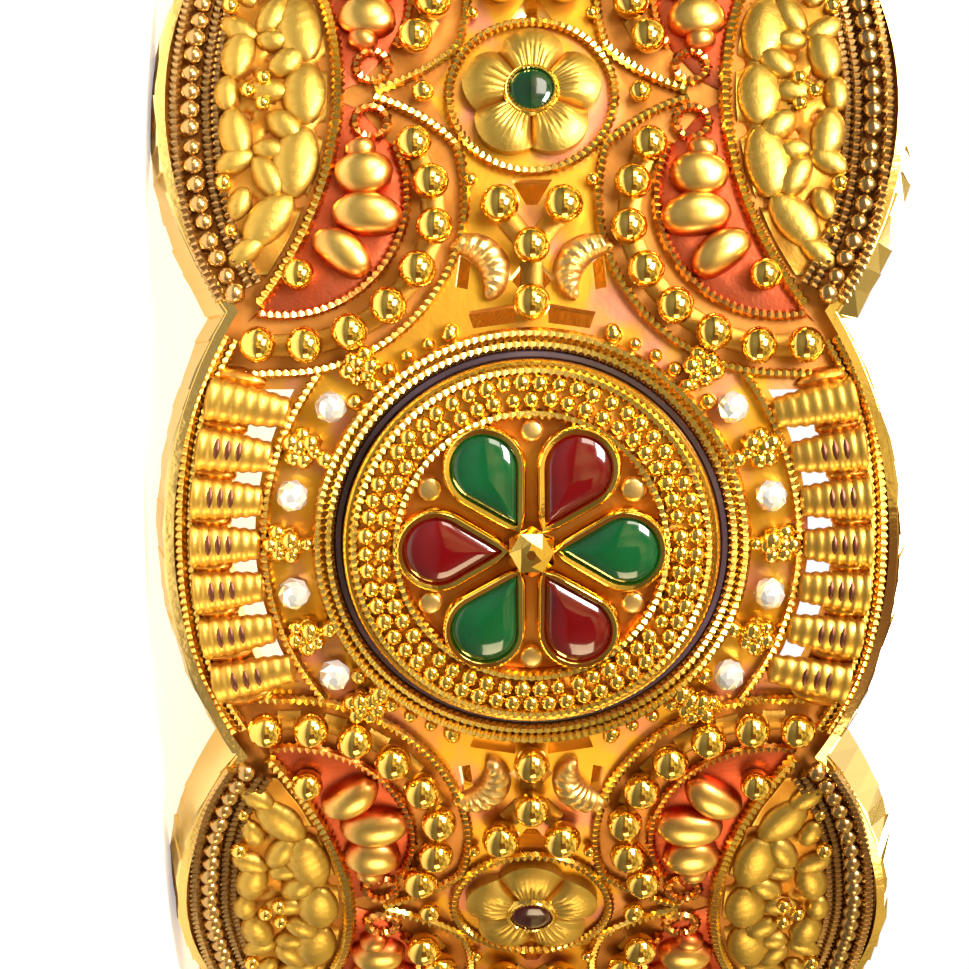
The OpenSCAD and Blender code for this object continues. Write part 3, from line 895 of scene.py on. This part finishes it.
def cut_ball(r, sides=7):
    """A ball with flat cuts: few corners, each ring turned half a step."""
    p = np.radians([128, 96, 66, 40, 16])
    t = TAU * np.arange(sides) / sides
    rings = [np.stack([r * np.sin(a) * np.cos(t + 0.5 * k * TAU / sides),
                       r * np.sin(a) * np.sin(t + 0.5 * k * TAU / sides),
                       np.full(sides, r * np.cos(a))], -1) for k, a in enumerate(p)]
    return skin(np.stack(rings))


def on_ball_ring(turns, level, ring=BALL_RING):
    """Spots at these angles from straight up the band, in degrees."""
    t = np.radians(turns)
    return np.stack([ring * np.sin(t), ring * np.cos(t), np.full(len(turns), level)], -1)


balls = copies(cut_ball(0.6), on_ball_ring([-35, -12, 12, 35], 31.88), [0, 17, 40, 66])
make("cut_white_balls", round_band(mirrored(balls, 1), False), silver, ["white_balls"],
     crisp=5.0)

# %% [markdown]
# ## Grains between the white balls
# The white balls are held apart by small heaps of grains. Each heap is a column of four grains with two
# pairs beside it and one on top, listed as spots once and turned to its place on the ring.

# %% Heaps of grains
bridges = []
for turn in (-46.5, -23.5, 0, 23.5, 46.5):
    bridges += [on_ball_ring([turn], 31.72, BALL_RING + d) for d in (-0.72, -0.25, 0.3, 0.62)]
    bridges += [on_ball_ring([turn - 2.7, turn + 2.7], 31.62, BALL_RING + d) for d in (-0.1, 0.35)]
    bridges += [on_ball_ring([turn - 2], 31.9, BALL_RING - 0.05)]
bridge_spots, bridge_sizes = handmade(np.concatenate(bridges), 0.03, 0.12)
heaps = copies(ball(0.34, 8, 4), bridge_spots, 0, bridge_sizes)
make("ball_bridges", round_band(mirrored(heaps, 1), False), polished)

# %% [markdown]
# ## Wires beside a medallion
# An arc of twisted wire parts the white balls from the fan, and two more follow the rim. The rim's line is
# a smooth curve through a few places read off the lobe, and the second wire is the same line moved inwards.

# %% Arc wires and rim wires beside the medallions
ARC_R, ARC_SHIFT, ARC_REACH = 10.6, 0.95, 6.25
arc_half = math.degrees(math.asin(ARC_REACH / ARC_R))
arc_line = arc(0, -ARC_SHIFT, ARC_R, 90 + arc_half, 90 - arc_half)
rim_knots = [(-7.6, 10.9), (-6.3, 11.55), (-4.5, 12.2), (-2.2, 12.56), (0, 12.66), (2.2, 12.56), (4.5, 12.2),
             (6.3, 11.55), (7.6, 10.9)]
rim_line = smooth(rim_knots, 70)
side_wires = joined(twisted(arc_line, 31.55), twisted(rim_line, 31.75, radius=0.19),
                    twisted(offset(rim_line, -0.36), 31.6, radius=0.15))
make("side_twisted_wires", round_band(mirrored(side_wires, 1), False), wiry)

# %% [markdown]
# ## Barrels
# Each barrel is wire wound round a tapered pin and pressed a little flat. The radius follows the taper, and
# narrow grooves part seven broad turns. A real coil of wire would be heavy and would show gaps that the
# photo doesn't, so one ribbed body per barrel is both lighter and closer.

# %% Barrels
RIBS = 7
PRESSED = 0.72                  # height of a barrel's section against its width
BARREL_FLOOR = SHEET + 0.05


def taper(s):
    """Radius of the smooth barrel at share s of its length: 0.52 + 0.33 s^0.6, in mm."""
    return 0.52 + 0.33 * s**0.6


def barrel(foot, head, around=12):
    """Radius = taper * (1 - 0.09 groove), where groove = |cos(pi ribs s)|^3 is 1 between two turns."""
    s = np.linspace(0, 1, RIBS * 4 + 1)
    radius = taper(s) * (1 - 0.09 * np.abs(np.cos(RIBS * math.pi * s)) ** 3)
    radius[0] *= 0.5
    radius[-1] *= 0.6
    path = np.asarray(foot) + s[:, None] * (np.asarray(head) - np.asarray(foot))
    section = round_section(radius, around) * [1, PRESSED]
    return along(at_level(path, BARREL_FLOOR + PRESSED * taper(s)), section)


print(f"a barrel is {2 * taper(0):.2f} mm thick at its foot and {2 * taper(1):.2f} mm at its head")

# %% [markdown]
# ## Gaps and valleys of a fan
# Where three turns of a barrel have opened, the opening lies in shade: a thin dark lens bent over its back
# paints that shade, which is easier to place than a hole. Between the slim inner ends light falls through
# the band, and further out a low wire fills the space between two barrels.

# %% Gaps and valleys
FAN_PITCH = 1.6                 # from one barrel's foot to the next, along the band
FOOT_R, HEAD_V = 10.72, 12.3


def gap(foot, head, s):
    """A lens across a barrel at share s: level = floor + 0.72 (R + sqrt(R^2 - x^2)), with R the barrel's
    radius there and x the distance from its middle line."""
    foot, head = np.asarray(foot), np.asarray(head)
    way = (head - foot) / np.linalg.norm(head - foot)
    radius = taper(s)
    x = np.linspace(-0.3, 0.62, 5) * radius
    path = foot + s * (head - foot) + x[:, None] * np.array([-way[1], way[0]])
    level = BARREL_FLOOR + PRESSED * (radius + np.sqrt(radius**2 - x**2))
    return pod(path, 0.11 * swell(5, 0.5), 0.05 * swell(5, 0.5), level - 0.02, around=5, foot=0.02)


def fan_line(u):
    """Foot and head of the barrel that starts at u: the foot lies on a circle of 10.72 mm, the head is
    1.12 times as far along the band and 12.3 - 0.0294 u^2 across it."""
    return np.array([[u, math.sqrt(FOOT_R**2 - u * u) - ARC_SHIFT], [u * 1.12, HEAD_V - 0.0294 * u * u]])


def valley(u):
    """The low wire that closes the space between two barrels, from the end of the opening outwards."""
    foot, head = fan_line(u)
    s = np.linspace(0.42, 1, 9)[:, None]
    return pod(foot + s * (head - foot), 0.42 * swell(9, 0.5), 0.62 * swell(9, 0.35), SHEET, around=7)


# %% [markdown]
# ## The fans
# Seven barrels make a fan, one fan on each side of every medallion, and all but the uppermost barrel have
# opened turns. The fan is worked out once, for the side above the middle line, and mirrored.

# %% The fans
ends = [fan_line(FAN_PITCH * k) for k in range(-3, 4)]
fan = [barrel(foot, head) for foot, head in ends]
gaps = [gap(foot, head, turn / RIBS) for foot, head in ends[1:] for turn in (3, 4, 5)]
valleys = [valley(FAN_PITCH * (k + 0.5)) for k in range(-4, 4)]
make("coiled_barrels", round_band(mirrored(joined(*fan), 1), False), wound, ["coil_fans"])
make("barrel_gaps", round_band(mirrored(joined(*gaps), 1), False), shade)
make("barrel_valleys", round_band(mirrored(joined(*valleys), 1), False), ground)

# %% [markdown]
# ## Flowers
# A flower is five petals raised in one sheet, brushed from the eye outwards so that it looks matte, with an
# enamel dot in its eye. The petal's height follows its own little dome, and the brushing is a fine ripple.
# A sculpted mesh would do as well, but a formula keeps the five petals alike and is changed by a number.

# %% Petals of a rosette
def rosette(petals=5, reach=2.6, rows=12, around=150):
    """Edge radius: the reach of a circle of radius 1.3 about (1.3, 0), repeated five times. Height: high in
    the middle of each petal, low in the valleys between them, with a ripple of 60 brush strokes."""
    t = TAU * np.arange(around) / around
    off = math.pi / petals - np.abs((t * petals / TAU) % 1 - 0.5) * TAU / petals
    edge = reach * np.cos(off)
    between = (off / (math.pi / petals)) ** 4
    s = np.linspace(1, 0.3, rows)[:, None]
    bulge = 0.34 * np.sin(np.clip((s - 0.25) / 0.75, 0, 1) * math.pi) ** 0.8
    ripple = 0.022 * np.cos(petals * 12 * t) * np.clip((1 - s) * 3, 0, 1)
    h = 31.78 + bulge * (1 - between) - 0.22 * between * s + ripple
    rings = np.stack([s * edge * np.cos(t), s * edge * np.sin(t), h], -1)
    foot = rings[:1] * [1, 1, 0] + [0, 0, SHEET]
    return skin(np.concatenate([foot, rings]))


rose = copies(rosette(), [(0, 0, 0)], 180)
make("rosettes", round_band(rose, True), satin, names("rosette_"))

# %% [markdown]
# ## Eyes and rings of the flowers
# The eye is a short tube round a dot of enamel, with a very fine twisted wire on it, and a twisted ring
# frames the whole flower. The dots are green and ruby by turns, as the two in the photo are.

# %% Eyes, rings and dots
eye = [(1.0, 31.5), (1.04, 31.95), (0.95, 32.06), (0.82, 32.04), (0.78, 31.9), (0.7, 31.88)]
eye_wire = twisted(circle(0.86, 40), 32.06, True, 0.06, 0.16)
make("rosette_eyes", round_band(joined(turned(eye, 28), eye_wire), True), polished)
make("rosette_rings", round_band(twisted(circle(3.02), 31.5, True), True), wiry)
dot = turned([(0.78, 31.7), (0.78, 32.0), (0.7, 32.07), (0.5, 32.13), (0.25, 32.16), (0.05, 32.17)], 24)
for colour, slot_name, odd, finish in (("green", "enamel_green", 1, green), ("red", "enamel_red", 0, red)):
    spots = [(HALF_STEP * (2 * k + 1), 0, 0) for k in range(LOBES) if k % 2 == odd]
    make(f"dots_{colour}", copies(dot, spots), finish,
         [f"dot_{k + 1}" for k in range(LOBES) if k % 2 == odd])

# %% [markdown]
# ## Beads
# Round beads are punched in halves and polished hard, so that each mirrors the whole room. They lie in a
# chain round every paisley and in a small hourglass between a flower and a medallion. These are the same
# places as in the CAD model, with more and rounder faces, because a bead's outline shows every corner.

# %% Bead chains
BEAD_R = 0.68
BEAD_LEVEL = 32.03
k = np.arange(8)
chain_turn = np.radians(-112 + 17.3 * k)
chain_r = CHAIN_BEADS - 0.27 * np.clip(2 - k, 0, None)
chain = np.stack([CHAIN_U + chain_r * np.cos(chain_turn), CHAIN_V + chain_r * np.sin(chain_turn),
                  np.full(8, BEAD_LEVEL)], -1)
bead = ball(BEAD_R, 16, 9, 0.8)
beads = four_ways(copies(bead, chain, 0, [0.97, 1, 1, 1.02, 1.02, 1, 1, 0.98]))
hourglass = [(4.4, 1.15, BEAD_LEVEL), (4.4, -1.15, BEAD_LEVEL), (5.9, 0, BEAD_LEVEL), (7.95, 0, BEAD_LEVEL)]
beads = joined(beads, mirrored(copies(bead, hourglass, 0, [1.06, 1.06, 1, 1]), 0))
beads = joined(beads, mirrored(copies(bead, [(0, 3.95, 31.76)], 0, 0.62), 1))
tiny = four_ways(copies(bead, [(8.95, 2.9, 31.6), (3.35, 2.2, 31.6)], 0, [0.42, 0.36]))
make("gold_bead_chains", round_band(joined(beads, tiny), True), polished, ["bead_chains"])

# %% [markdown]
# ## Solder between the beads
# Solder runs into the gap between two beads and draws up into a little saddle. A low pod from one bead to
# the next, without its two ends, is enough, since only its middle can be seen.

# %% Solder between the beads
link_ends = np.concatenate([np.stack([chain[:-1], chain[1:]], 1),
                            [[(4.4, 1.15, 0), (5.9, 0, 0)], [(5.9, 0, 0), (7.95, 0, 0)]]])
links = []
for start, end in link_ends:
    share = np.linspace(0.25, 0.75, 7)[:, None]
    links.append(pod(start[:2] + share * (end - start)[:2], 0.42, 0.16, SHEET + 0.05, around=5))
make("bead_links", round_band(four_ways(joined(*links)), True), satin)

# %% [markdown]
# ## Crescents
# Four small crescents stand round each hourglass, pinched from thick wire and cut across with a file. The
# cuts are the pod's own ridges, set slanting, so that they follow the crescent round its bend.

# %% Crescents
CRESCENT_STEPS = 46


def crescent():
    """A pod along an arc of radius 1.15 mm, dented by nine slanting cuts."""
    line = arc(6.95, 2.45, 1.15, -205, -45, CRESCENT_STEPS)
    half_width, height = 0.6 * swell(CRESCENT_STEPS, 0.6), 0.62 * swell(CRESCENT_STEPS, 0.4)
    return pod(line, half_width, height, 31.4, ridges=9, depth=0.22, slant=0.5)


make("crescents", round_band(four_ways(crescent()), True), pale)

# %% [markdown]
# ## Wires of the paisleys
# Each paisley is a comma of petals between two twisted wires: an outer one along the bead chain and an inner
# one that curls into a small spiral beside the flower. Arcs and free curves are joined into one path, so the
# twist runs on without a seam, as it does when one length of wire is bent.

# %% Chain wires and spirals
outer_knots = [(0.15, 5.7), (0.45, 4.9), (1.0, 3.9), (1.6, 3.1)]
outer_line = np.concatenate([smooth(outer_knots, 14), arc(CHAIN_U, CHAIN_V, CHAIN_OUTER, -108, 0, 50),
                             smooth([(10.5, 9.3), (10.6, 11.2)], 8)])
inner_line = arc(CHAIN_U, CHAIN_V, CHAIN_INNER, -118, 12, 50)
curl = arc(1.12, 5.83, 0.6, 0, 345, 24)
make("chain_wires", round_band(four_ways(twisted(outer_line, 31.52)), True), wiry)
make("paisley_wires", round_band(four_ways(joined(twisted(inner_line, 31.52), twisted(curl, 31.54))), True),
     washed_wire)

# %% [markdown]
# ## Floors of the paisleys
# The ground inside a paisley was washed with orange-red enamel, which pooled there. A thin plate with a low
# rounded edge carries that colour, so that the band needs no painted mask with a sharp border.

# %% Paisley floors
LEAF_ARC_V, LEAF_ARC_R = 20.05, 13.0
leaf_line = arc(0, LEAF_ARC_V, LEAF_ARC_R + 0.12, -89, -49, 20)
inner_edge = arc(CHAIN_U, CHAIN_V, CHAIN_INNER, 12, -112, 26)
floor_line = np.concatenate([leaf_line, inner_edge, [(1.6, 5.4), (0.6, 6.2)]])
floor = dome(floor_line, (4.4, 6.4), [(1, 31.2), (1, 31.36), (0.96, 31.42), (0.6, 31.44), (0.2, 31.44)])
make("paisley_floors", round_band(four_ways(floor), True), orange_floor)

# %% [markdown]
# ## Petals of the paisleys
# Three full petals and a small one fill a paisley, each a drop of gold with a flattened back, orange-red
# low down and gold on top: partly the wash that pooled low down, partly painted shade below and a painted
# highlight on top. They differ in length, lean and bend, so each is one row of numbers.

# %% Petals
PETAL_STEPS = 15
PETALS = [((3.3, 6.05), 1.02, 0.88, 85, 0.88, 0.14), ((4.98, 5.95), 1.2, 0.84, 96, 0.88, 0.34),
          ((6.3, 6.95), 1.14, 0.74, 126, 0.84, 0.3), ((2.2, 6.2), 0.56, 0.46, 75, 0.66, 0.0)]


def leaned(line, degrees):
    """The line turned about the origin: x' = x cos - y sin, y' = x sin + y cos."""
    a = math.radians(degrees)
    return line @ np.array([[math.cos(a), math.sin(a)], [-math.sin(a), math.cos(a)]])


def petal(middle, length, width, lean, height, curve):
    """A pod along a short bent line: x along it, offset by curve * (1 - x^2), turned by the lean."""
    x = np.linspace(-1, 1, PETAL_STEPS)
    line = np.stack([length * x, curve * (1 - x**2)], -1)
    return pod(np.asarray(middle) + leaned(line, lean), width * swell(PETAL_STEPS, 0.4),
               height * swell(PETAL_STEPS, 0.3), SHEET + 0.1, around=11, round_top=0.62)


petals = joined(*[petal(*row) for row in PETALS])
end_beads = copies(ball(0.6, 14, 8), [(6.95, 8.35, 31.9)])
make("washed_petals", round_band(four_ways(petals), True), orange, ["paisley_petals"])
make("tail_beads", round_band(four_ways(end_beads), True), polished)

# %% [markdown]
# ## Leaf panels
# Beyond an arc of twisted wire, a cast plate with matte leaves and a few grains fills the side of the
# flower lobe. The plate is a field of heights: it dips under the band's face where the casting has gaps.
# Cutting real holes would need many faces round each, and from outside the two look the same.

# %% Leaf plate
border_knots = [(-7.6, 10.45), (-6.05, 11.25), (-4.5, 11.76), (-2.9, 12.07), (0, 12.3), (2.9, 12.07),
                (4.5, 11.76), (6.05, 11.25), (7.6, 10.45)]
border_line = smooth(border_knots, 80)
DIPS = [(0.7, 11.15, 0.36), (0.85, 10.4, 0.22), (0.1, 9.55, 0.2), (1.35, 7.55, 0.32), (4.1, 8.4, 0.36),
        (4.2, 10.15, 0.26), (2.9, 11.2, 0.3), (5.8, 10.6, 0.25), (1.6, 9.5, 0.2)]


def leaf_plate(across=22, lengthwise=80):
    """Height = 31.5 + 0.07 cos(2.2 u) cos(2.6 v) - 0.4 exp(-(distance / size)^4) for each dip. The section at
    each u runs from the arc wire to the border, and two hidden points close it."""
    u = np.linspace(-6.9, 6.9, lengthwise)[:, None]
    low = LEAF_ARC_V - np.sqrt((LEAF_ARC_R - 0.4) ** 2 - u**2)
    high = np.interp(u, *border_line.T) - 0.95
    v = low + np.linspace(0, 1, across) * (high - low)
    h = 31.5 + 0.07 * np.cos(2.2 * u) * np.cos(2.6 * v)
    for du, dv, size in DIPS:
        h = h - 0.4 * np.exp(-((((np.abs(u) - du) ** 2 + (v - dv) ** 2) / size**2) ** 2))
    ends = np.concatenate([v, v[:, -1:], v[:, :1]], 1), np.concatenate([h, 0 * u + 31.15, 0 * u + 31.15], 1)
    return along(np.concatenate([u, 0 * u, 0 * u], 1), np.stack(ends, -1))


make("leaf_plates", round_band(mirrored(leaf_plate(), 1), True), satin)

# %% [markdown]
# ## Leaves
# The leaves were pressed with small punches, veined and matte. Each is a pod along a slightly bent line, and
# its ridges are the veins. The table gives middle, length, width, lean in degrees and, if it is low, height.

# %% Leaves
LEAVES = [((2.7, 8.35), 2.7, 1.75, 10), ((5.0, 9.35), 2.4, 1.5, 38), ((1.35, 9.05), 1.5, 1.1, 130),
          ((6.2, 10.25), 1.6, 0.95, 50), ((1.55, 10.6), 2.0, 1.3, -12), ((3.3, 9.65), 1.7, 1.1, 150),
          ((2.75, 10.7), 1.5, 1.0, 60, 0.42), ((4.3, 10.45), 1.3, 0.9, 20, 0.4),
          ((2.3, 9.5), 1.2, 0.9, 95, 0.42)]
MIDDLE_LEAVES = [((0, 8.1), 2.4, 1.7, 0), ((0, 9.6), 1.5, 1.0, 90, 0.42), ((0, 11.0), 1.4, 1.0, 0, 0.42)]


def leaf(middle, length, width, lean, height=0.5):
    """A pod along a line bent by 0.08 length (1 - x^2). Its steps are 6 + 7 length, with a vein at about
    every fourth one."""
    n = int(6 + 7 * length)
    x = np.linspace(-1, 1, n)
    line = np.stack([length / 2 * x, 0.08 * length * (1 - x**2)], -1)
    return pod(np.asarray(middle) + leaned(line, lean), width / 2 * swell(n, 0.55), height * swell(n, 0.4),
               31.5, ridges=n / 3.8, depth=0.12, slant=0.8, around=7, foot=0.3)


side_leaves = mirrored(joined(*[leaf(*row) for row in LEAVES]), 0)
middle_leaves = joined(*[leaf(*row) for row in MIDDLE_LEAVES])
make("leaves", round_band(mirrored(joined(side_leaves, middle_leaves), 1), True), satin,
     ["leaf_fields"])

# %% [markdown]
# ## Grains among the leaves
# A few grains were set as berries: three in a cluster in the middle, and three of falling size towards each
# corner of the lobe. They are polished, so that they stand out from the matte leaves.

# %% Grains among the leaves
lobe_beads = copies(ball(0.42, 12, 6), [(3.55, 11.1, 31.75), (5.3, 10.85, 31.62), (6.5, 10.35, 31.6)], 0,
                    [0.8, 0.62, 0.55])
cluster = copies(ball(0.3, 8, 5), [(0, 10.3, 31.85), (0.5, 9.75, 31.85), (-0.5, 9.75, 31.85)])
glossy = mirrored(joined(mirrored(lobe_beads, 0), cluster), 1)
make("leaf_grains", round_band(glossy, True), polished)

# %% [markdown]
# ## Arcs of the leaf panels
# A stronger twisted wire closes the leaf panel towards the paisleys and hides the edge of the plate, as
# such wires do in all filigree. It is the same function as the finer ones, with a greater radius, on an arc
# that runs 38 degrees to each side.

# %% Leaf arcs
leaf_wires = twisted(arc(0, LEAF_ARC_V, LEAF_ARC_R, -90 - 38, -90 + 38), 31.6, radius=0.22, bump=0.29)
make("leaf_arc_wires", round_band(mirrored(leaf_wires, 1), True), wiry)

# %% [markdown]
# ## Borders
# Along the rims of the flower lobes runs a row of beads between twisted wires, all in a darker, browner
# gold, which makes the yellow work inside it glow. All four rows are one line moved sideways, so they stay
# parallel.

# %% Border beads and wires
def rising(line, level, rise=0.35):
    """The row climbs towards the corners of the lobe, level + rise (u / 7.6)^4, where the rim bends in."""
    return at_level(line, level + rise * (line[:, 0] / 7.6) ** 4)


bead_spots, bead_sizes = handmade(rising(even(offset(border_line, 0.15), 0.74), 31.7), 0.015, 0.05)
border_beads = copies(ball(0.38, 10, 6), bead_spots, 0, bead_sizes)
border_wires = joined(twisted(rising(offset(border_line, 0.7), 31.85), None, radius=0.19),
                      twisted(rising(offset(border_line, -0.42), 31.52), None, radius=0.19),
                      twisted(rising(offset(border_line, -0.78), 31.48), None, radius=0.17))
make("border_beads", round_band(mirrored(border_beads, 1), True), dark_border_gold)
make("border_wires", round_band(mirrored(border_wires, 1), True), dark_border_gold)

# %% [markdown]
# ## The table
# The bangle lies on its side on a pale table. White paper would throw light back into every bead, as on a
# jeweller's bench, but a whole white table would wash out the gold. So mirrored rays find the paper bright
# only near the bangle and dark further away, and only the camera sees it white all over.

# %% Table
TABLE_HALF = 1.5
table_corners = [(x * TABLE_HALF, y * TABLE_HALF, 0) for x, y in ((-1, -1), (1, -1), (1, 1), (-1, 1))]
floor_mesh = bpy.data.meshes.new("table")
floor_mesh.from_pydata(table_corners, [], [(0, 1, 2, 3)])
table = bpy.data.objects.new("table", floor_mesh)
bpy.context.scene.collection.objects.link(table)
paper = bpy.data.materials.new("white paper")
paper.use_nodes = True
paper.cycles.emission_sampling = "NONE"
tree = paper.node_tree
shader = tree.nodes["Principled BSDF"]
shader.inputs["Roughness"].default_value = 0.8
where = add(tree, "ShaderNodeTexCoord").outputs["Object"]
fibre = add(tree, "ShaderNodeTexNoise", [("Vector", where), ("Scale", 900.0), ("Detail", 4.0)])
tone = add(tree, "ShaderNodeMapRange", [(0, fibre.outputs[0]), (3, 0.88), (4, 0.94)]).outputs[0]
away = add(tree, "ShaderNodeVectorMath", [(0, where)], operation="LENGTH").outputs["Value"]
# Painted pool of light seen only in reflections: bright paper within 36 mm of the axis, dark beyond 44 mm.
mirrored_tone = ramp(tree, away, 0.036, 0.044, 0.8, 0.07)
eye_ray = add(tree, "ShaderNodeLightPath").outputs["Is Camera Ray"]
tree.links.new(mixed(tree, eye_ray, mirrored_tone, tone), shader.inputs["Base Color"])
shader.inputs["Emission Color"].default_value = (0.8, 0.88, 1, 1)
tree.links.new(math_node(tree, "MULTIPLY", eye_ray, 0.42), shader.inputs["Emission Strength"])
floor_mesh.materials.append(paper)
print("table:", 2 * TABLE_HALF, "m wide")

# %% [markdown]
# ## The room
# Gold has little colour of its own to show: what is seen in it is the room. A dim warm room with lighter
# and darker walls makes it look deep, so a slow noise over all directions varies the brightness. The camera
# itself sees a white background, which a Light Path node tells apart.

# %% World
world = bpy.data.worlds.new("studio")
bpy.context.scene.world = world
world.use_nodes = True
tree = world.node_tree
tree.nodes.clear()
way = add(tree, "ShaderNodeTexCoord").outputs["Generated"]
walls = add(tree, "ShaderNodeTexNoise", [("Vector", way), ("Scale", 2.6), ("Detail", 1.5)]).outputs[0]
bright = ramp(tree, walls, 0.36, 0.64, 0.24, 1.06)
room = add(tree, "ShaderNodeBackground", [("Color", (1.0, 0.77, 0.3, 1)), ("Strength", bright)])
white = add(tree, "ShaderNodeBackground", [("Color", (1, 1, 1, 1)), ("Strength", 1.0)])
ray = add(tree, "ShaderNodeLightPath")
seen = add(tree, "ShaderNodeMixShader", [(0, ray.outputs["Is Camera Ray"]), (1, room.outputs[0]),
                                         (2, white.outputs[0])])
add(tree, "ShaderNodeOutputWorld", [("Surface", seen.outputs[0])])
print("world:", world.name)

# %% [markdown]
# ## The camera
# The photo was taken from close by, looking straight at the wall with the wrist's axis across the picture.
# The distance and the lens decide how fast the pattern shortens towards the picture's ends. The camera looks
# at the band's middle line from 128 mm and is shifted rather than turned, so that upright lines stay upright.

# %% Camera
CAMERA_TURN = math.radians(-11.6)
CAMERA_OUT = 0.128
camera_data = bpy.data.cameras.new("camera")
camera_data.lens = 100
camera_data.sensor_width = 36
camera_data.clip_start = 0.005
camera_data.shift_x = -0.0486
camera_data.shift_y = -0.1213
camera = bpy.data.objects.new("camera", camera_data)
bpy.context.scene.collection.objects.link(camera)
out = np.array([math.cos(CAMERA_TURN), math.sin(CAMERA_TURN), 0])
picture_right = np.array([0, 0, 1.0])
picture_up = np.array([math.sin(CAMERA_TURN), -math.cos(CAMERA_TURN), 0])
pose = np.eye(4)
pose[:3, :3] = np.stack([picture_right, picture_up, out], 1)
pose[:3, 3] = CAMERA_OUT * out + [0, 0, MIDDLE * MM]
camera.matrix_world = Matrix(pose.tolist())
bpy.context.scene.camera = camera
bpy.context.scene.view_settings.view_transform = "Standard"
print("the camera is", camera_data.lens, "mm long and", round(CAMERA_OUT / MM), "mm from the axis")

# %% [markdown]
# ## The lamps
# A window gives the bright side of each bead, a small lamp lights the paper, a warm fill softens the other
# side, and two lamps further away light the back and the bore, which are seen only from other angles. Area
# lights are used because polished balls show a lamp's shape, and a point would look like a star.

# %% Lights
def lamp(name, at, look, size, watts, colour=(1, 1, 1)):
    """An area light at a point, turned so that it shines towards another. The camera doesn't see it."""
    data = bpy.data.lights.new(name, "AREA")
    data.shape, data.size, data.size_y = "RECTANGLE", size[0], size[1]
    data.energy, data.color = watts, colour
    light = bpy.data.objects.new(name, data)
    bpy.context.scene.collection.objects.link(light)
    light.location = at
    light.rotation_euler = (Vector(look) - Vector(at)).to_track_quat("-Z", "Y").to_euler()
    light.visible_camera = False


FRONT = (0.032, 0, 0.014)       # the front of the band at half its height, in metres
lamp("window", (0.12, -0.16, 0.07), FRONT, (0.1, 0.07), 0.16, (1.0, 0.93, 0.8))
lamp("table_light", (0.075, -0.035, 0.06), (0.045, -0.005, 0), (0.04, 0.025), 0.1)
lamp("fill", (0.12, 0.13, 0.03), FRONT, (0.1, 0.08), 0.14, (1.0, 0.8, 0.5))
lamp("back", (-0.22, 0.06, 0.14), (-0.03, 0, 0.014), (0.2, 0.14), 0.7, (1.0, 0.92, 0.8))
lamp("ceiling", (-0.1, 0.1, 0.5), (0, 0, 0), (0.5, 0.5), 0.5, (1.0, 0.93, 0.82))
print("lamps:", len(bpy.data.lights))

# %% [markdown]
# ## The camera's shade
# Each polished bead shows a dark spot, since the place that a picture is taken from is darker than the
# room. A brown board beside the camera makes that spot. It is hidden from the camera and throws no shadow,
# so it shows only in the gold.

# %% Camera shade
def card(name, middle, across, upward, colour):
    """A board with two half sides, seen only in reflections: corners = middle +- across +- upward."""
    middle, across, upward = (np.array(x, float) for x in (middle, across, upward))
    mesh = bpy.data.meshes.new(name)
    corners = [middle - across - upward, middle + across - upward, middle + across + upward,
               middle - across + upward]
    mesh.from_pydata([tuple(c) for c in corners], [], [(0, 1, 2, 3)])
    board = bpy.data.objects.new(name, mesh)
    bpy.context.scene.collection.objects.link(board)
    board.visible_camera = False
    board.visible_shadow = False
    finish = bpy.data.materials.new(name)
    finish.use_nodes = True
    finish.node_tree.nodes["Principled BSDF"].inputs["Base Color"].default_value = colour
    mesh.materials.append(finish)


SHADE_OUT = 0.11                # from the band's front to the board, in metres
SHADE_TURN = 0.7                # how far the board lies below the camera's direction, in radians
shade_out = out * math.cos(SHADE_TURN) - picture_up * math.sin(SHADE_TURN)
shade_up = out * math.sin(SHADE_TURN) + picture_up * math.cos(SHADE_TURN)
shade_middle = np.array(FRONT) + SHADE_OUT * shade_out + picture_right * 0.014
card("camera_shade", shade_middle, picture_right * 0.032, shade_up * 0.04, srgb(90, 48, 16))
print("the shade is a board of 64 by 80 mm")
